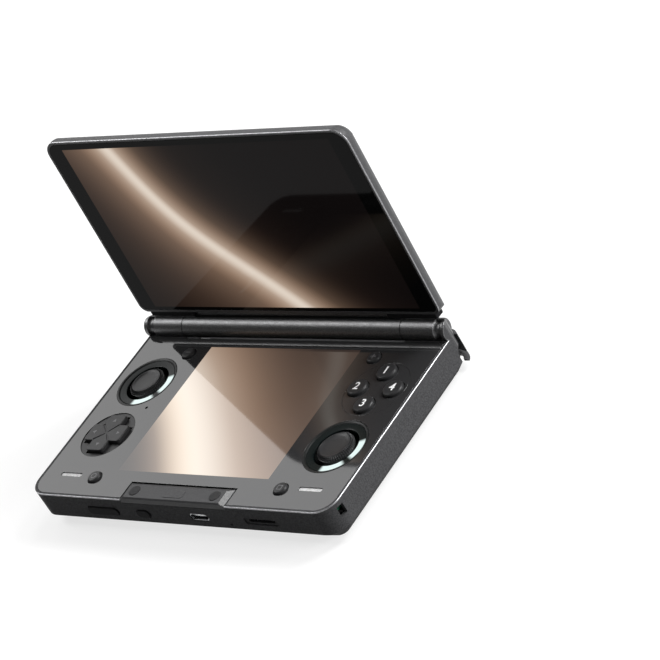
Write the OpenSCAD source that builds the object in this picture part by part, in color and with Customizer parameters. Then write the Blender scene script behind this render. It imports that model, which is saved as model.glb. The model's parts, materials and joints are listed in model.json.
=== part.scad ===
// Clamshell handheld game console: a base with two sticks, a cross pad, buttons and a lower
// display, and a hinged lid that carries the large display. Millimetres, +Z up.
// Origin: centre of the flat underside. +X is the player's right, +Y runs back to the hinge.

/* [Base] */
// Width of the base across the sides
body_w = 150; // [146:1:160]
// Depth of the base from its front edge to its rear wall
body_d = 92.6; // [91:0.2:98]
// Height of the glass deck above the underside
base_t = 15.6; // [15:0.1:18]
// Height of the side band below the deck
band_h = 10.8; // [10.4:0.1:11.4]
// Inset of the underside from the side band
foot_inset = 4.7; // [3.5:0.1:6]
// Plan radius of the front corners
front_r = 8; // [6:0.5:10]
// Plan radius of the rear corners
rear_r = 6; // [5:0.5:7]
// Thickness of the side band's wall
band_wall = 1.5; // [1.2:0.1:1.8]
// Thickness of the bottom shell's floor
floor_t = 1.4; // [1.2:0.1:1.8]

/* [Deck] */
// Width of the bright rim that frames the deck glass
rim_w = 1.1; // [0.8:0.1:1.4]
// Thickness of the deck glass
deck_glass_t = 0.7; // [0.5:0.1:1]
// Distance from the deck glass's rear edge to the rear wall
deck_rear = 8.3; // [8.1:0.1:8.6]
// Distance from each side to the lower display's panel
low_disp_edge = 36.3; // [36:0.1:40]
// Distance from the front edge to the lower display's panel
low_disp_front = 13.3; // [12.5:0.1:16]
// Distance from the deck glass's rear edge to the lower display's panel
low_disp_rear = 3.4; // [3:0.1:6]
// Thickness of the lower display's panel
low_disp_t = 1.2; // [1:0.1:1.4]

/* [Controls] */
// Distance from each side to the middle of the sticks and of the action buttons
side_edge = 17.6; // [17:0.1:18.5]
// Distance between the front and the rear row of controls
row_pitch = 28.6; // [28:0.1:29.2]
// Distance from the front edge to the right stick and to the cross pad
near_y = 31.6; // [31:0.1:32.5]
// Radius of a stick's well
well_r = 11.8; // [11.4:0.1:12.2]
// Depth of a stick's well
well_depth = 4.9; // [4.8:0.1:5.2]
// Radius of a stick's cap
cap_r = 7.3; // [7:0.1:7.6]
// Height of a stick's cap above the deck
cap_up = 0.8; // [0.5:0.1:1.1]
// Travel of a stick's cap when it is clicked down
stick_press = 0.4; // [0.2:0.05:0.45]
// Radius of a stick's shaft
shaft_r = 1.5; // [1.2:0.1:1.8]
// Distance from the left side to the middle of the cross pad
pad_edge = 18.3; // [17.5:0.1:19]
// Radius of the cross pad's round plate
pad_r = 11.6; // [11:0.1:12]
// Half the length of the cross pad
cross_l = 9.3; // [8.6:0.1:9.6]
// Half the width of one arm of the cross pad
cross_w = 4.2; // [3.9:0.1:4.4]
// Radius of the round plate around the four action buttons
plate_r = 13.4; // [13:0.1:13.6]
// Radius of one action button
button_r = 4.05; // [3.6:0.05:4.2]
// Distance from the middle of the button group to one button
button_off = 8.3; // [8:0.1:8.6]
// Height of the action buttons and the cross pad above the deck
button_up = 1.3; // [1:0.1:1.4]
// Travel of a pressed button
button_travel = 0.6; // [0.4:0.05:0.6]
// Radius of the four small round buttons
small_r = 2.8; // [2.4:0.1:3]
// Distance from each side to the small buttons
small_edge = 28.5; // [28:0.1:29]
// Distance from the front edge to the front pair of small buttons
small_front_y = 10.0; // [9.5:0.1:11]
// Distance from the deck glass's rear edge to the rear pair of small buttons
small_rear = 8.5; // [7.8:0.1:9.3]
// Height of the small buttons above the deck
small_up = 1.0; // [0.6:0.1:1.2]
// Travel of a pressed small button
small_travel = 0.4; // [0.2:0.05:0.5]

/* [Shoulders] */
// Height of the shoulder buttons' upper edge below the deck
shoulder_drop = 1.6; // [1.4:0.1:2]
// Distance the shoulder buttons and triggers stand proud of the body
shoulder_proud = 1; // [0.6:0.1:1.4]
// Length of a shoulder button from the side to its inner end
shoulder_l = 24.4; // [23:0.1:25]

/* [Speakers] */
// Distance from each side to the middle of a speaker slot
speaker_edge = 15.3; // [14.8:0.1:16]
// Distance from the front edge to the speaker slots
speaker_y = 10.9; // [10.6:0.1:11.2]
// Length of a speaker slot
speaker_slot_l = 11; // [8:0.1:12]
// Width of a speaker slot
speaker_slot_w = 1.8; // [1.2:0.1:2.2]

/* [Sockets] */
// Width of the volume rocker
rocker_w = 15.5; // [12:0.1:16]
// Width of the power button
power_w = 6.4; // [5:0.1:8]
// Height of the rocker, the power button and the card slot's recess
edge_key_h = 3.4; // [3:0.1:3.6]
// Width of the charging port's metal shell
port_w = 8.94; // [8.9:0.01:9]
// Height of the charging port's metal shell
port_h = 3.16; // [3.1:0.01:3.2]
// Width of the card slot's recess
card_w = 16.1; // [14:0.1:17]

/* [Front bar] */
// Half the length of the raised front bar's top
bar_half = 23.8; // [22:0.1:25]
// Depth of the raised front bar
bar_d = 6.6; // [6:0.1:7]
// Height of the raised front bar above the deck
bar_up = 1.3; // [1:0.1:1.3]
// Radius of a round rubber pad
pad_dot_r = 2.3; // [2:0.1:2.5]
// Distance from the middle to each rubber pad
pad_dot_x = 20; // [18:0.5:21]

/* [Lid] */
// Gap between the two glass faces with the lid shut
lid_gap = 1.9; // [1.7:0.1:2]
// Thickness of the lid
lid_t = 6.2; // [6:0.1:7]
// Distance from the hinge axis to the lid's lower edge
lid_root = 7.1; // [6.9:0.1:7.6]
// Plan radius of the lid's two far corners
lid_far_r = 6.5; // [5:0.5:8]
// Plan radius of the lid's two near corners
lid_near_r = 3.5; // [3:0.5:4]
// Radius that rounds the lid's back into its sides and far edge
lid_back_r = 5; // [3:0.5:5]
// Thickness of the lid's shell
lid_wall = 1.4; // [1.2:0.1:1.8]
// Opening angle of the lid in the modelled pose, in degrees
lid_open = 92.5; // [0:0.5:150]
// Distance from each side to the upper display's panel
up_disp_edge = 7.5; // [6:0.1:10]
// Height of the upper display's panel
up_disp_h = 77.4; // [74:0.2:78]
// Distance from the lid's lower edge to the upper display's panel
up_disp_root = 1.8; // [1.7:0.1:2.2]

/* [Hinge] */
// Distance from the hinge axis to the rear wall
axis_rear = 3.7; // [3.4:0.1:3.9]
// Height of the hinge axis above the deck
axis_up = 2.2; // [2.1:0.1:2.4]
// Radius of the hinge barrel
barrel_r = 4.2; // [4:0.05:4.3]
// Length of a fixed hinge knuckle with its side post
knuckle_l = 20.1; // [19:0.1:21]
// Radius of a hinge pin
hinge_pin_r = 1.6; // [1.2:0.1:2]
// Length of a hinge pin
hinge_pin_l = 22; // [18:1:24]

/* [Hidden] */

// Facets of large circles, small circles and rounded plan corners
$fn = 64;
fine_fn = 96;

// Clearances: a sliding or turning piece, a shaft in its bore, a seam between fixed shells
move_gap = 0.3;
run_gap = 0.05;
seam_gap = 0.1;
eps = 0.01;

// Heights in the deck frame, whose zero is the deck glass's outer face
underside = -base_t;
floor_top = underside + floor_t;
band_low = -band_h;
glass_low = -deck_glass_t;
disp_low = glass_low - seam_gap - low_disp_t;
ledge_low = disp_low - seam_gap;
chassis_t = 1.2;
chassis_top = ledge_low - seam_gap;
chassis_low = chassis_top - chassis_t;

// Planes and places that several pieces share
half_w = body_w / 2;
side_x = half_w - side_edge;
far_y = near_y + row_pitch;
pad_x = half_w - pad_edge;
small_x = half_w - small_edge;
deck_end = body_d - deck_rear;
small_rear_y = deck_end - small_rear;
shoulder_in = half_w - shoulder_l;
speaker_x = half_w - speaker_edge;
low_disp_w = body_w - 2 * low_disp_edge;
up_disp_w = body_w - 2 * up_disp_edge;
axis_y = body_d - axis_rear;
barrel_half = half_w - knuckle_l - move_gap;
mid_y = (body_d + shoulder_proud) / 2;
rail_front = deck_end + 0.3;
hinge_clear = lid_t - axis_up + lid_gap + move_gap + 2.1;
board_t = 0.8;
board_top = chassis_low - 1.1;
board_low = board_top - board_t;
cell_top = board_low - 0.6;
well_floor_t = 0.9;
well_low = -well_depth - well_floor_t;
well_wall = 1.1;
stick_pivot = -9.5;
shaft_top = cap_up - 1.6;
dome_r = 6.3;
dome_hole_r = 5.4;
shoulder_low = -6.3;
shoulder_button_low = -11;
shoulder_depth = 3;
shoulder_hub_r = 1.7;
shelf_low = shoulder_low - 1.3;
scoop_y = body_d - 6.4;
past_rear = body_d + 6;
body_mid_y = body_d / 2;
trigger_in = shoulder_in - 1.1;
trigger_hub_in = shoulder_in + 3.6;
trigger_hub_out = shoulder_in + 18;
trigger_pivot_y = body_d - 4.3;
trigger_pivot = -9.6;
axle_r = 0.8;
shoulder_pivot_x = barrel_half + move_gap + 2.1;
shoulder_pivot_y = body_d - 2.6;
key_mid = -6.5;
rocker_x = 36.4 - half_w;
power_x = -17.9;
port_x = 10;
card_x = half_w - 34.8;
key_proud = 0.5;
glass_z = axis_up - lid_gap;
back_z = lid_t - glass_z;
lid_end = -axis_y;
neck_end = shoulder_in - 0.4;
neck_half = neck_end - 5.2;
neck_low = 1.4;
hinge_pin_end = half_w - 7;
pad_y = near_y + 0.3;
ring_out = well_r - seam_gap;
ring_in = well_r - 2.7;
pad_dot_y = bar_d / 2 + 0.4;
pad_dot_low = bar_up - 0.3;
bar_ramp = 2.2;
fan_x = -14;
fan_y = deck_end - 21.3;
fan_r = 14.6;
fan_pin_r = 0.8;
fan_side = fan_x + 17;
fin_y = fan_y + 16.8;
fin_pitch = 2.4;
// Chips on the board: left edge, front edge from the fan's middle, width and depth
chips = [[-30, -13, 14, 14], [-10, -13, 10, 10], [14, -11, 16, 14]];
cell_half = half_w - 35;
mic_place = [27.6 - half_w, 46.7];
mic_r = 0.6;
strap_hole = [6.4, -4.3];
strap_hole_size = [4.2, 2.9];
reset_hole = [card_x - 15.7, -8.9];
reset_hole_r = 0.5;
ribbon_half = 10;
ribbon_low = 2.1;
ribbon_high = 2.7;
screw_spots = [[half_w - 7.5, 19], [half_w - 7.5, deck_end - 10.3], [card_x - 12.2, 8]];
screw_places = [for (s = [-1, 1], p = screw_spots) [s * p[0], p[1]]];
screw_r = 1;
screw_head_r = 1.9;
boss_r = 2.5;
boss_top = -9;

// The cross pad's ball and the action buttons
dpad_pivot_z = -1;
ball_r = 1.5;
plate_low = -1.5;
button_low = -2.6;
small_low = -2.8;
// The four places of the action buttons around the middle of their plate
button_dirs = [[0, 1], [1, 0], [0, -1], [-1, 0]];

// The deck frame: zero at the middle of the front edge, on the deck glass's outer face
module on_deck() {
  translate([0, -mid_y, base_t]) children();
}

// The lid's frame: zero on the hinge axis, drawn as if the lid were shut
module on_lid() {
  on_deck() translate([0, axis_y, axis_up]) rotate([-lid_open, 0, 0]) children();
}

// Outline of the base seen from above, pulled in by inset all round
module plan(inset = 0) {
  hw = half_w - inset;
  rf = front_r - inset;
  rr = rear_r - inset;
  for (s = [-1, 1]) {
    translate([s * (hw - rf), front_r]) circle(r = rf);
    translate([s * (hw - rr), body_d - rear_r]) circle(r = rr);
  }
  translate([-hw, front_r]) square([2 * hw, body_d - rear_r - front_r]);
  translate([rf - hw, inset]) square([2 * (hw - rf), body_mid_y]);
  translate([rr - hw, body_mid_y]) square([2 * (hw - rr), body_mid_y - inset]);
}

module plan_slab(z0, z1, inset = 0) {
  translate([0, 0, z0]) linear_extrude(z1 - z0) plan(inset);
}

// Block with the base's outline whose inset changes from in0 at z0 to in1 at z1
module taper_block(z0, z1, in0, in1) {
  h = z1 - z0;
  for (s = [-1, 1]) {
    translate([s * (half_w - front_r), front_r, z0])
      cylinder(r1 = front_r - in0, r2 = front_r - in1, h = h);
    translate([s * (half_w - rear_r), body_d - rear_r, z0])
      cylinder(r1 = rear_r - in0, r2 = rear_r - in1, h = h);
  }
  translate([0, body_d - rear_r, 0]) rotate([90, 0, 0])
    linear_extrude(body_d - rear_r - front_r)
      polygon([[in0 - half_w, z0], [half_w - in0, z0], [half_w - in1, z1], [in1 - half_w, z1]]);
  x_prism(half_w - front_r)
    polygon([[in0, z0], [body_mid_y, z0], [body_mid_y, z1], [in1, z1]]);
  x_prism(half_w - rear_r)
    polygon([[body_mid_y, z0], [body_d - in0, z0], [body_d - in1, z1], [body_mid_y, z1]]);
}

// Extrudes a (y, z) outline along X, from -half to half
module x_prism(half) {
  translate([-half, 0, 0]) rotate([90, 0, 90]) linear_extrude(2 * half) children();
}

// Extrudes a (y, z) outline along X, from x0 to x1 on the side s
module side_prism(s, x0, x1) {
  translate([s > 0 ? x0 : -x1, 0, 0]) rotate([90, 0, 90]) linear_extrude(x1 - x0) children();
}

// Cylinder along X, from x0 to x1 on the side s, about the point (y, z)
module side_rod(s, x0, x1, y, z, r) {
  translate([s > 0 ? x0 : -x1, y, z]) rotate([0, 90, 0]) cylinder(r = r, h = x1 - x0);
}

// Box between two corners
module block(low, high) {
  translate(low) cube(high - low);
}

// Flat slot with round ends, w wide along X and h high along Z, cut along Y from y0 to y1
module y_slot(x, z, w, h, y0, y1) {
  translate([x, y1, z]) rotate([90, 0, 0]) linear_extrude(y1 - y0) {
    square([w - h, h], center = true);
    for (s = [-1, 1]) translate([s * (w - h) / 2, 0]) circle(d = h);
  }
}

// Upright slot with round ends, w long along X and d wide along Y
module z_slot(x, y, w, d, z0, z1) {
  translate([x, y, z0]) linear_extrude(z1 - z0) {
    square([w - d, d], center = true);
    for (s = [-1, 1]) translate([s * (w - d) / 2, 0]) circle(d = d);
  }
}

// Space behind and below the shoulder buttons where the triggers swing, one per side
module trigger_space(s) {
  low = underside - 1;
  side_prism(s, trigger_in, half_w + 2)
    polygon([[scoop_y, shelf_low], [past_rear, shelf_low], [past_rear, low], [scoop_y, low]]);
}

// Space that a shoulder button needs behind the wall, with its press
module shoulder_space(s) {
  low = shoulder_button_low - 0.6;
  top = move_gap - shoulder_drop;
  difference() {
    side_prism(s, shoulder_in - 0.4, half_w + 2)
      polygon([[scoop_y, low], [past_rear, low], [past_rear, top], [scoop_y, top]]);
    plan_slab(low - 1, 0, shoulder_depth);
    side_prism(s, half_w - shoulder_depth - 0.2, half_w + 2)
      polygon([[scoop_y - 6, 0], [body_d - 3.2, 0], [body_d - 3.2, -4.8], [body_d - 5.2, -5.6],
        [scoop_y + 0.1, -7.2], [scoop_y, low - 1], [scoop_y - 6, low - 1]]);
  }
  translate([s * shoulder_pivot_x, shoulder_pivot_y, shoulder_low - 0.2])
    cylinder(r = shoulder_hub_r + move_gap, h = top - shoulder_low + 0.2);
}

// Rib under the shelf that holds the outer end of a trigger's axle
module trigger_rib(s) {
  side_prism(s, trigger_hub_out + 1.6, trigger_hub_out + 3)
    polygon([[scoop_y - 0.5, shelf_low + 0.1], [trigger_pivot_y + 1.9, shelf_low + 0.1],
      [trigger_pivot_y + 1.9, trigger_pivot - 1.2], [trigger_pivot_y + 0.7, trigger_pivot - 2.1],
      [scoop_y - 0.5, trigger_pivot - 1.1]]);
}

module bottom_shell() {
  inner = 1.8;
  inner_low = inner + foot_inset * (1 - floor_t / (base_t - band_h));
  color("#2b2b2d") on_deck() difference() {
    union() {
      difference() {
        taper_block(underside, band_low, foot_inset, 0);
        difference() {
          taper_block(floor_top, band_low + eps, inner_low, inner);
          for (s = [-1, 1]) side_prism(s, trigger_in - 1.6, half_w)
            polygon([[scoop_y - 1.6, floor_top - 1], [body_d, floor_top - 1], [body_d, 0],
              [scoop_y - 1.6, 0]]);
        }
      }
      for (p = screw_places)
        translate([p[0], p[1], underside + 0.7]) cylinder(r = boss_r, h = boss_top - underside - 0.7);
    }
    for (p = screw_places) {
      translate([p[0], p[1], underside - 1]) cylinder(r = screw_r + run_gap, h = 9);
      translate([p[0], p[1], underside - 1]) cylinder(r = screw_head_r + seam_gap, h = 2.2);
    }
    for (s = [-1, 1]) trigger_space(s);
    for (i = [-3:3]) z_slot(fan_x, fan_y + 3 * i, 26 - 2 * abs(i), 1.4, underside - 1, floor_top + 1);
    for (s = [-1, 1], i = [0:2])
      z_slot(s * (speaker_x - 0.7), speaker_y - 1.5 + 2.6 * i, 9, 1.2, underside - 1, floor_top + 1);
  }
}

module base_frame() {
  color("#3a3a3d") on_deck() difference() {
    union() {
      difference() {
        union() {
          frame_band();
          frame_rail();
          for (s = [-1, 1]) knuckle(s);
        }
        for (s = [-1, 1]) {
          trigger_space(s);
          shoulder_space(s);
        }
      }
      for (s = [-1, 1]) trigger_rib(s);
    }
    for (s = [-1, 1]) {
      side_rod(s, barrel_half - 1, hinge_pin_end + 0.1, axis_y, axis_up, hinge_pin_r + eps);
      translate([s * shoulder_pivot_x, shoulder_pivot_y, shelf_low - 1])
        cylinder(r = axle_r + eps, h = 7.8);
      side_rod(s, trigger_in - 1.5, half_w - 1, trigger_pivot_y, trigger_pivot, axle_r + eps);
      translate([s * half_w, strap_hole[0], strap_hole[1]]) rotate([0, 90, 0])
        linear_extrude(8, center = true) square(strap_hole_size, center = true);
    }
    neck_space();
    y_slot(rocker_x, key_mid, rocker_w + 0.6, edge_key_h + 0.6, -1, 3);
    y_slot(power_x, key_mid, power_w + 0.6, edge_key_h + 0.6, -1, 3);
    y_slot(port_x, key_mid, port_w + 0.3, port_h + 0.3, -1, 3);
    y_slot(card_x, key_mid, card_w, edge_key_h, -1, 0.5);
    y_slot(card_x, key_mid, 12.4, 1.4, -1, 3);
    translate([reset_hole[0], 1.6, reset_hole[1]]) rotate([90, 0, 0])
      cylinder(r = reset_hole_r, h = 3);
    block([-bar_half - bar_ramp - seam_gap, -1, -1.6], [bar_half + bar_ramp + seam_gap, 2.4, 1]);
    for (i = [-5:5])
      block([fan_x + 2.8 * i - 1, rail_front - 4, -10.2],
        [fan_x + 2.8 * i + 0.6, past_rear, -7.6]);
  }
}

// Side band: an outer wall, the seat of the deck glass and the ledge under it
module frame_band() {
  difference() {
    plan_slab(band_low, 0);
    plan_slab(band_low - 1, ledge_low, band_wall);
    plan_slab(ledge_low - eps, 1, 2.6);
    plan_slab(glass_low, 1, rim_w);
  }
}

// Solid rail under the hinge, between the deck glass and the rear wall
module frame_rail() {
  intersection() {
    plan_slab(band_low, 0);
    block([-half_w, rail_front, band_low], [half_w, past_rear, 0]);
  }
}

// Room that the hinge barrel and the lid's neck sweep through the rail
module neck_space() {
  half = barrel_half + move_gap;
  intersection() {
    side_rod(1, -half, half, axis_y, axis_up, hinge_clear);
    block([-half, rail_front, -12], [half, past_rear, 12]);
  }
  block([-half, axis_y - barrel_r - 0.1, -1.2], [half, past_rear, 12]);
}

// Fixed hinge knuckle, its side post and the web that joins them to the rail
module knuckle(s) {
  x0 = barrel_half + move_gap;
  dish_x = half_w - 3.2;
  difference() {
    intersection() {
      union() {
        side_rod(s, x0, half_w, axis_y, axis_up, barrel_r);
        side_prism(s, x0, half_w)
          polygon([[axis_y - barrel_r + 0.9, -0.2], [body_d, -0.2], [body_d, axis_up],
            [axis_y - barrel_r, axis_up]]);
      }
      translate([0, 0, -1]) linear_extrude(12) union() {
        plan();
        translate([-half_w + rear_r / 2, body_d - 2]) square([body_w - rear_r, 4]);
      }
    }
    intersection() {
      translate([s * dish_x, axis_y, axis_up]) rotate([0, 90, 0])
        rotate_extrude() translate([barrel_r + 1, 0]) circle(r = 2);
      block([-half_w, rail_front - 4, 0.4], [half_w, axis_y + 0.6, 12]);
    }
  }
}

module speaker_slot(s, z0, z1) {
  z_slot(s * speaker_x, speaker_y, speaker_slot_l, speaker_slot_w, z0, z1);
}

// Everything that passes through the deck: wells, plates, small buttons and slots
module deck_holes(z0, z1) {
  h = z1 - z0;
  translate([-side_x, far_y, z0]) cylinder(r = well_r + well_wall + seam_gap, h = h);
  translate([side_x, near_y, z0]) cylinder(r = well_r + well_wall + seam_gap, h = h);
  for (sx = [-1, 1], y = [small_front_y, small_rear_y])
    translate([sx * small_x, y, z0]) cylinder(r = small_r + move_gap, h = h);
  for (s = [-1, 1]) speaker_slot(s, z0, z1);
}

module deck_glass() {
  color("#18181a") on_deck() difference() {
    intersection() {
      plan_slab(glass_low, 0, rim_w + seam_gap);
      block([-half_w, 0, -2], [half_w, deck_end, 1]);
    }
    deck_holes(glass_low - 1, 1);
    translate([-pad_x, pad_y, glass_low - 1]) cylinder(r = pad_r, h = 3);
    translate([side_x, far_y, glass_low - 1]) cylinder(r = plate_r, h = 3);
    translate([mic_place[0], mic_place[1], -2]) cylinder(r = mic_r, h = 3);
    block([-bar_half - bar_ramp - 0.5, -1, -2], [bar_half + bar_ramp + 0.5, bar_d + 2.6, 1]);
  }
}

// Stamped plate that carries the display, with the two stick wells formed in it
module inner_chassis() {
  color("#6d6f72") on_deck() {
    difference() {
      union() {
        intersection() {
          plan_slab(chassis_low, chassis_top, band_wall + 0.2);
          block([-half_w, 0, -6], [half_w, rail_front - 0.1, 0]);
        }
        stick_well(-side_x, far_y);
        stick_well(side_x, near_y);
        for (p = screw_places) translate([p[0], p[1], boss_top])
          cylinder(r = boss_r - 0.2, h = chassis_low - boss_top + 0.1);
      }
      for (p = screw_places) translate([p[0], p[1], boss_top - 1])
        cylinder(r = screw_r - 0.15, h = 4);
      for (p = [[-side_x, far_y], [side_x, near_y]]) translate([p[0], p[1], -20]) {
        translate([0, 0, 20 - well_depth]) cylinder(r = well_r, h = 20);
        cylinder(r = dome_hole_r, h = 20);
        translate([0, 0, 19.55]) cylinder(r1 = well_r, r2 = well_r + 0.7, h = 0.71);
      }
      for (sx = [-1, 1], y = [small_front_y, small_rear_y])
        translate([sx * small_x, y, chassis_low - 1]) cylinder(r = small_r + 1, h = 4);
      translate([-pad_x, pad_y, chassis_low - 1]) cylinder(r = pad_r - 0.8, h = 4);
      translate([side_x, far_y, chassis_low - 1]) cylinder(r = plate_r, h = 4);
      for (s = [-1, 1]) speaker_slot(s, chassis_low - 1, 0);
      block([-12, deck_end - 18.3, chassis_low - 1], [12, deck_end - 10.3, 0]);
    }
  }
}

module stick_well(x, y) {
  translate([x, y, well_low]) cylinder(r = well_r + well_wall, h = -well_low - 0.05);
}

module lower_display() {
  color("#a98c78") on_deck()
    block([-low_disp_w / 2, low_disp_front, disp_low],
      [low_disp_w / 2, deck_end - low_disp_rear, glass_low - seam_gap]);
}

module bumper_bar() {
  half = bar_half + bar_ramp;
  low = -1.5;
  color("#333336") on_deck() difference() {
    intersection() {
      translate([0, 12, 0]) rotate([90, 0, 0]) linear_extrude(12)
        polygon([[-half, low], [half, low], [half, 0], [bar_half, bar_up], [-bar_half, bar_up],
          [-half, 0]]);
      x_prism(half)
        polygon([[0, low], [2.3, low], [2.3, glass_low], [bar_d + 2, glass_low], [bar_d + 2, -0.2],
          [bar_d, bar_up], [0.5, bar_up], [0, bar_up - 0.5]]);
    }
    for (s = [-1, 1]) translate([s * pad_dot_x, pad_dot_y, pad_dot_low])
      cylinder(r = pad_dot_r + 0.02, h = 2);
  }
}

module bumper_pads() {
  color("#1c1c1d") on_deck() for (s = [-1, 1])
    translate([s * pad_dot_x, pad_dot_y, pad_dot_low]) cylinder(r = pad_dot_r, h = 0.5);
}

module mainboard() {
  color("#1d5a3c") on_deck() {
    difference() {
      intersection() {
        plan_slab(board_low, board_top, 3);
        block([-half_w, 4, -9], [half_w, deck_end - 0.7, 0]);
      }
      for (p = [[-side_x, far_y], [side_x, near_y]]) translate([p[0], p[1], -9])
        cylinder(r = well_r + well_wall + 0.4, h = 9);
      for (s = [-1, 1])
        block([s * speaker_x - 8.4, 0, -9], [s * speaker_x + 8.4, speaker_y + 6.3, 0]);
      for (p = screw_places) translate([p[0], p[1], -9]) cylinder(r = boss_r + 0.3, h = 9);
      block([port_x - port_w / 2 - 0.1, 0, -9], [port_x + port_w / 2 + 0.1, 8.2, 0]);
    }
    for (sx = [-1, 1], y = [small_front_y, small_rear_y])
      block([sx * small_x - 2, y - 2, board_top],
        [sx * small_x + 2, y + 2, small_low - small_travel - move_gap]);
    for (c = chips) block([c[0], fan_y + c[1], board_top],
      [c[0] + c[2], fan_y + c[1] + c[3], board_top + 0.8]);
  }
}

module battery() {
  color("#3c4046") on_deck() block([-cell_half, 17, floor_top + 0.2], [cell_half, fan_y - 18, cell_top]);
}

module fan_housing() {
  color("#26282b") on_deck() difference() {
    block([fan_x - 17, fan_y - 16.5, floor_top + 0.2], [fan_x + 17, fan_y + 16.5, board_low - 0.4]);
    translate([fan_x, fan_y, floor_top - 1]) cylinder(r = fan_r, h = 6.7);
    translate([fan_x, fan_y, floor_top - 1]) cylinder(r = fan_r - 3.6, h = 12);
    block([fan_x - 15, fan_y, floor_top + 1], [fan_x + 15, fan_y + 17, board_low - 1.4]);
  }
  color("#26282b") on_deck() translate([fan_x, fan_y, 0]) {
    for (a = [30, 150, 270]) rotate(a)
      block([0, -0.8, board_low - 1.2], [fan_r - 3.1, 0.8, board_low - 0.5]);
    translate([0, 0, board_low - 1.2]) cylinder(r = 3, h = 0.7);
    translate([0, 0, floor_top + 0.8]) cylinder(r = fan_pin_r, h = board_low - floor_top - 1.4);
  }
}

module fan_rotor() {
  blade = 0.7;
  low = floor_top + 1;
  color("#44474b") on_deck() translate([fan_x, fan_y, low]) difference() {
    union() {
      cylinder(r = 5, h = 4);
      for (i = [0:10]) rotate(i * 360 / 11)
        block([4.6, -blade / 2, 0.3], [fan_r - 1.2, blade / 2, 3.8]);
    }
    translate([0, 0, -1]) cylinder(r = fan_pin_r + run_gap, h = 6);
  }
}

module heat_pipe() {
  low = board_low - 2.6;
  color("#b4703c") on_deck() {
    block([fan_side + 0.3, fan_y + 7, low], [fan_side + 33, fan_y + 13, low + 2]);
    block([fan_side + 0.3, fan_y + 7, low], [fan_side + 6, fin_y + 3.8, low + 2]);
    block([fan_side - 2.7, fin_y, low], [fan_side + 6, fin_y + 3.8, low + 2]);
    block([fan_side + 9, fan_y - 13, low + 2], [fan_side + 27, fan_y + 6, board_low]);
    block([fan_side + 9, fan_y - 3, low], [fan_side + 27, fan_y + 7, low + 2]);
  }
}

module heat_fins() {
  low = floor_top + 0.6;
  top = board_low - 0.4;
  color("#9fa3a8") on_deck() {
    for (i = [0:12]) block([fan_x - 15 + fin_pitch * i, fin_y, low],
      [fan_x - 14.6 + fin_pitch * i, fin_y + 4, top]);
    block([fan_x - 15, fin_y, low - 0.4], [fan_side - 2.8, fin_y + 4, low]);
  }
}

// Box speaker under a slot of the deck
module speaker(s) {
  color("#202124") on_deck() difference() {
    block([s * speaker_x - 7, speaker_y - 5.5, -8.6],
      [s * speaker_x + 7, speaker_y + 5.3, chassis_low - seam_gap]);
    speaker_slot(s, -6, 0);
  }
}

module left_speaker() { speaker(-1); }
module right_speaker() { speaker(1); }

// Housing of a stick module: an open box whose side walls carry the yoke
module stick_base(x, y) {
  half = 8.5;
  low = -13.6;
  color("#5b5e62") on_deck() translate([x, y, 0]) difference() {
    block([-half, -half, low], [half, half, well_low - 0.02]);
    block([1.5 - half, 1.5 - half, low + 1], [half - 1.5, half - 1.5, 0]);
    translate([-half - 1, 0, stick_pivot]) rotate([0, 90, 0])
      cylinder(r = 1 + run_gap, h = 2 * half + 2);
  }
}

// Ring of the stick's gimbal, which turns about X in the housing
module stick_yoke(x, y) {
  color("#8a8d91") on_deck() translate([x, y, stick_pivot]) difference() {
    union() {
      translate([0, 0, -1.2]) cylinder(r = 5.6, h = 2.4);
      rotate([0, 90, 0]) translate([0, 0, -8.2]) cylinder(r = 1, h = 16.4);
    }
    translate([0, 0, -2]) cylinder(r = 3.6, h = 4);
    rotate([90, 0, 0]) translate([0, 0, -7]) cylinder(r = 0.8 + run_gap, h = 14);
  }
}

// Shaft of a stick with its dust dome, which turns about Y in the yoke
module stick_shaft(x, y) {
  color("#1b1c1e") on_deck() translate([x, y, stick_pivot]) {
    translate([0, 0, -1.8]) cylinder(r = shaft_r, h = shaft_top - stick_pivot + 1.8);
    rotate([90, 0, 0]) translate([0, 0, -5.2]) cylinder(r = 0.8, h = 10.4);
    difference() {
      sphere(r = dome_r);
      sphere(r = dome_r - 0.8);
      translate([-10, -10, -17]) cube([20, 20, 20]);
    }
  }
}

// Thumb cap of a stick: a dished disc whose hub slides on the shaft
module stick_cap(x, y) {
  low = -1.6;
  rim = 0.7;
  dish = 0.55;
  dish_r = 5.6;
  sphere_r = (dish_r * dish_r + dish * dish) / (2 * dish);
  color("#2c2d2f") on_deck() translate([x, y, 0]) difference() {
    rotate_extrude($fn = fine_fn) polygon([[0, low - 0.8], [2.8, low - 0.8], [2.8, low],
      [cap_r - 2.4, low], [cap_r - 0.7, cap_up - 1.5], [cap_r, cap_up - rim], [cap_r - 0.5, cap_up],
      [0, cap_up]]);
    translate([0, 0, cap_up + sphere_r - dish]) sphere(r = sphere_r);
    translate([0, 0, low - 2])
      cylinder(r = shaft_r + run_gap, h = shaft_top + stick_press + 0.25 - low + 2);
  }
}

module left_stick_base() { stick_base(-side_x, far_y); }
module right_stick_base() { stick_base(side_x, near_y); }
module left_stick_yoke() { stick_yoke(-side_x, far_y); }
module right_stick_yoke() { stick_yoke(side_x, near_y); }
module left_stick_shaft() { stick_shaft(-side_x, far_y); }
module right_stick_shaft() { stick_shaft(side_x, near_y); }
module left_stick_cap() { stick_cap(-side_x, far_y); }
module right_stick_cap() { stick_cap(side_x, near_y); }

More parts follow.
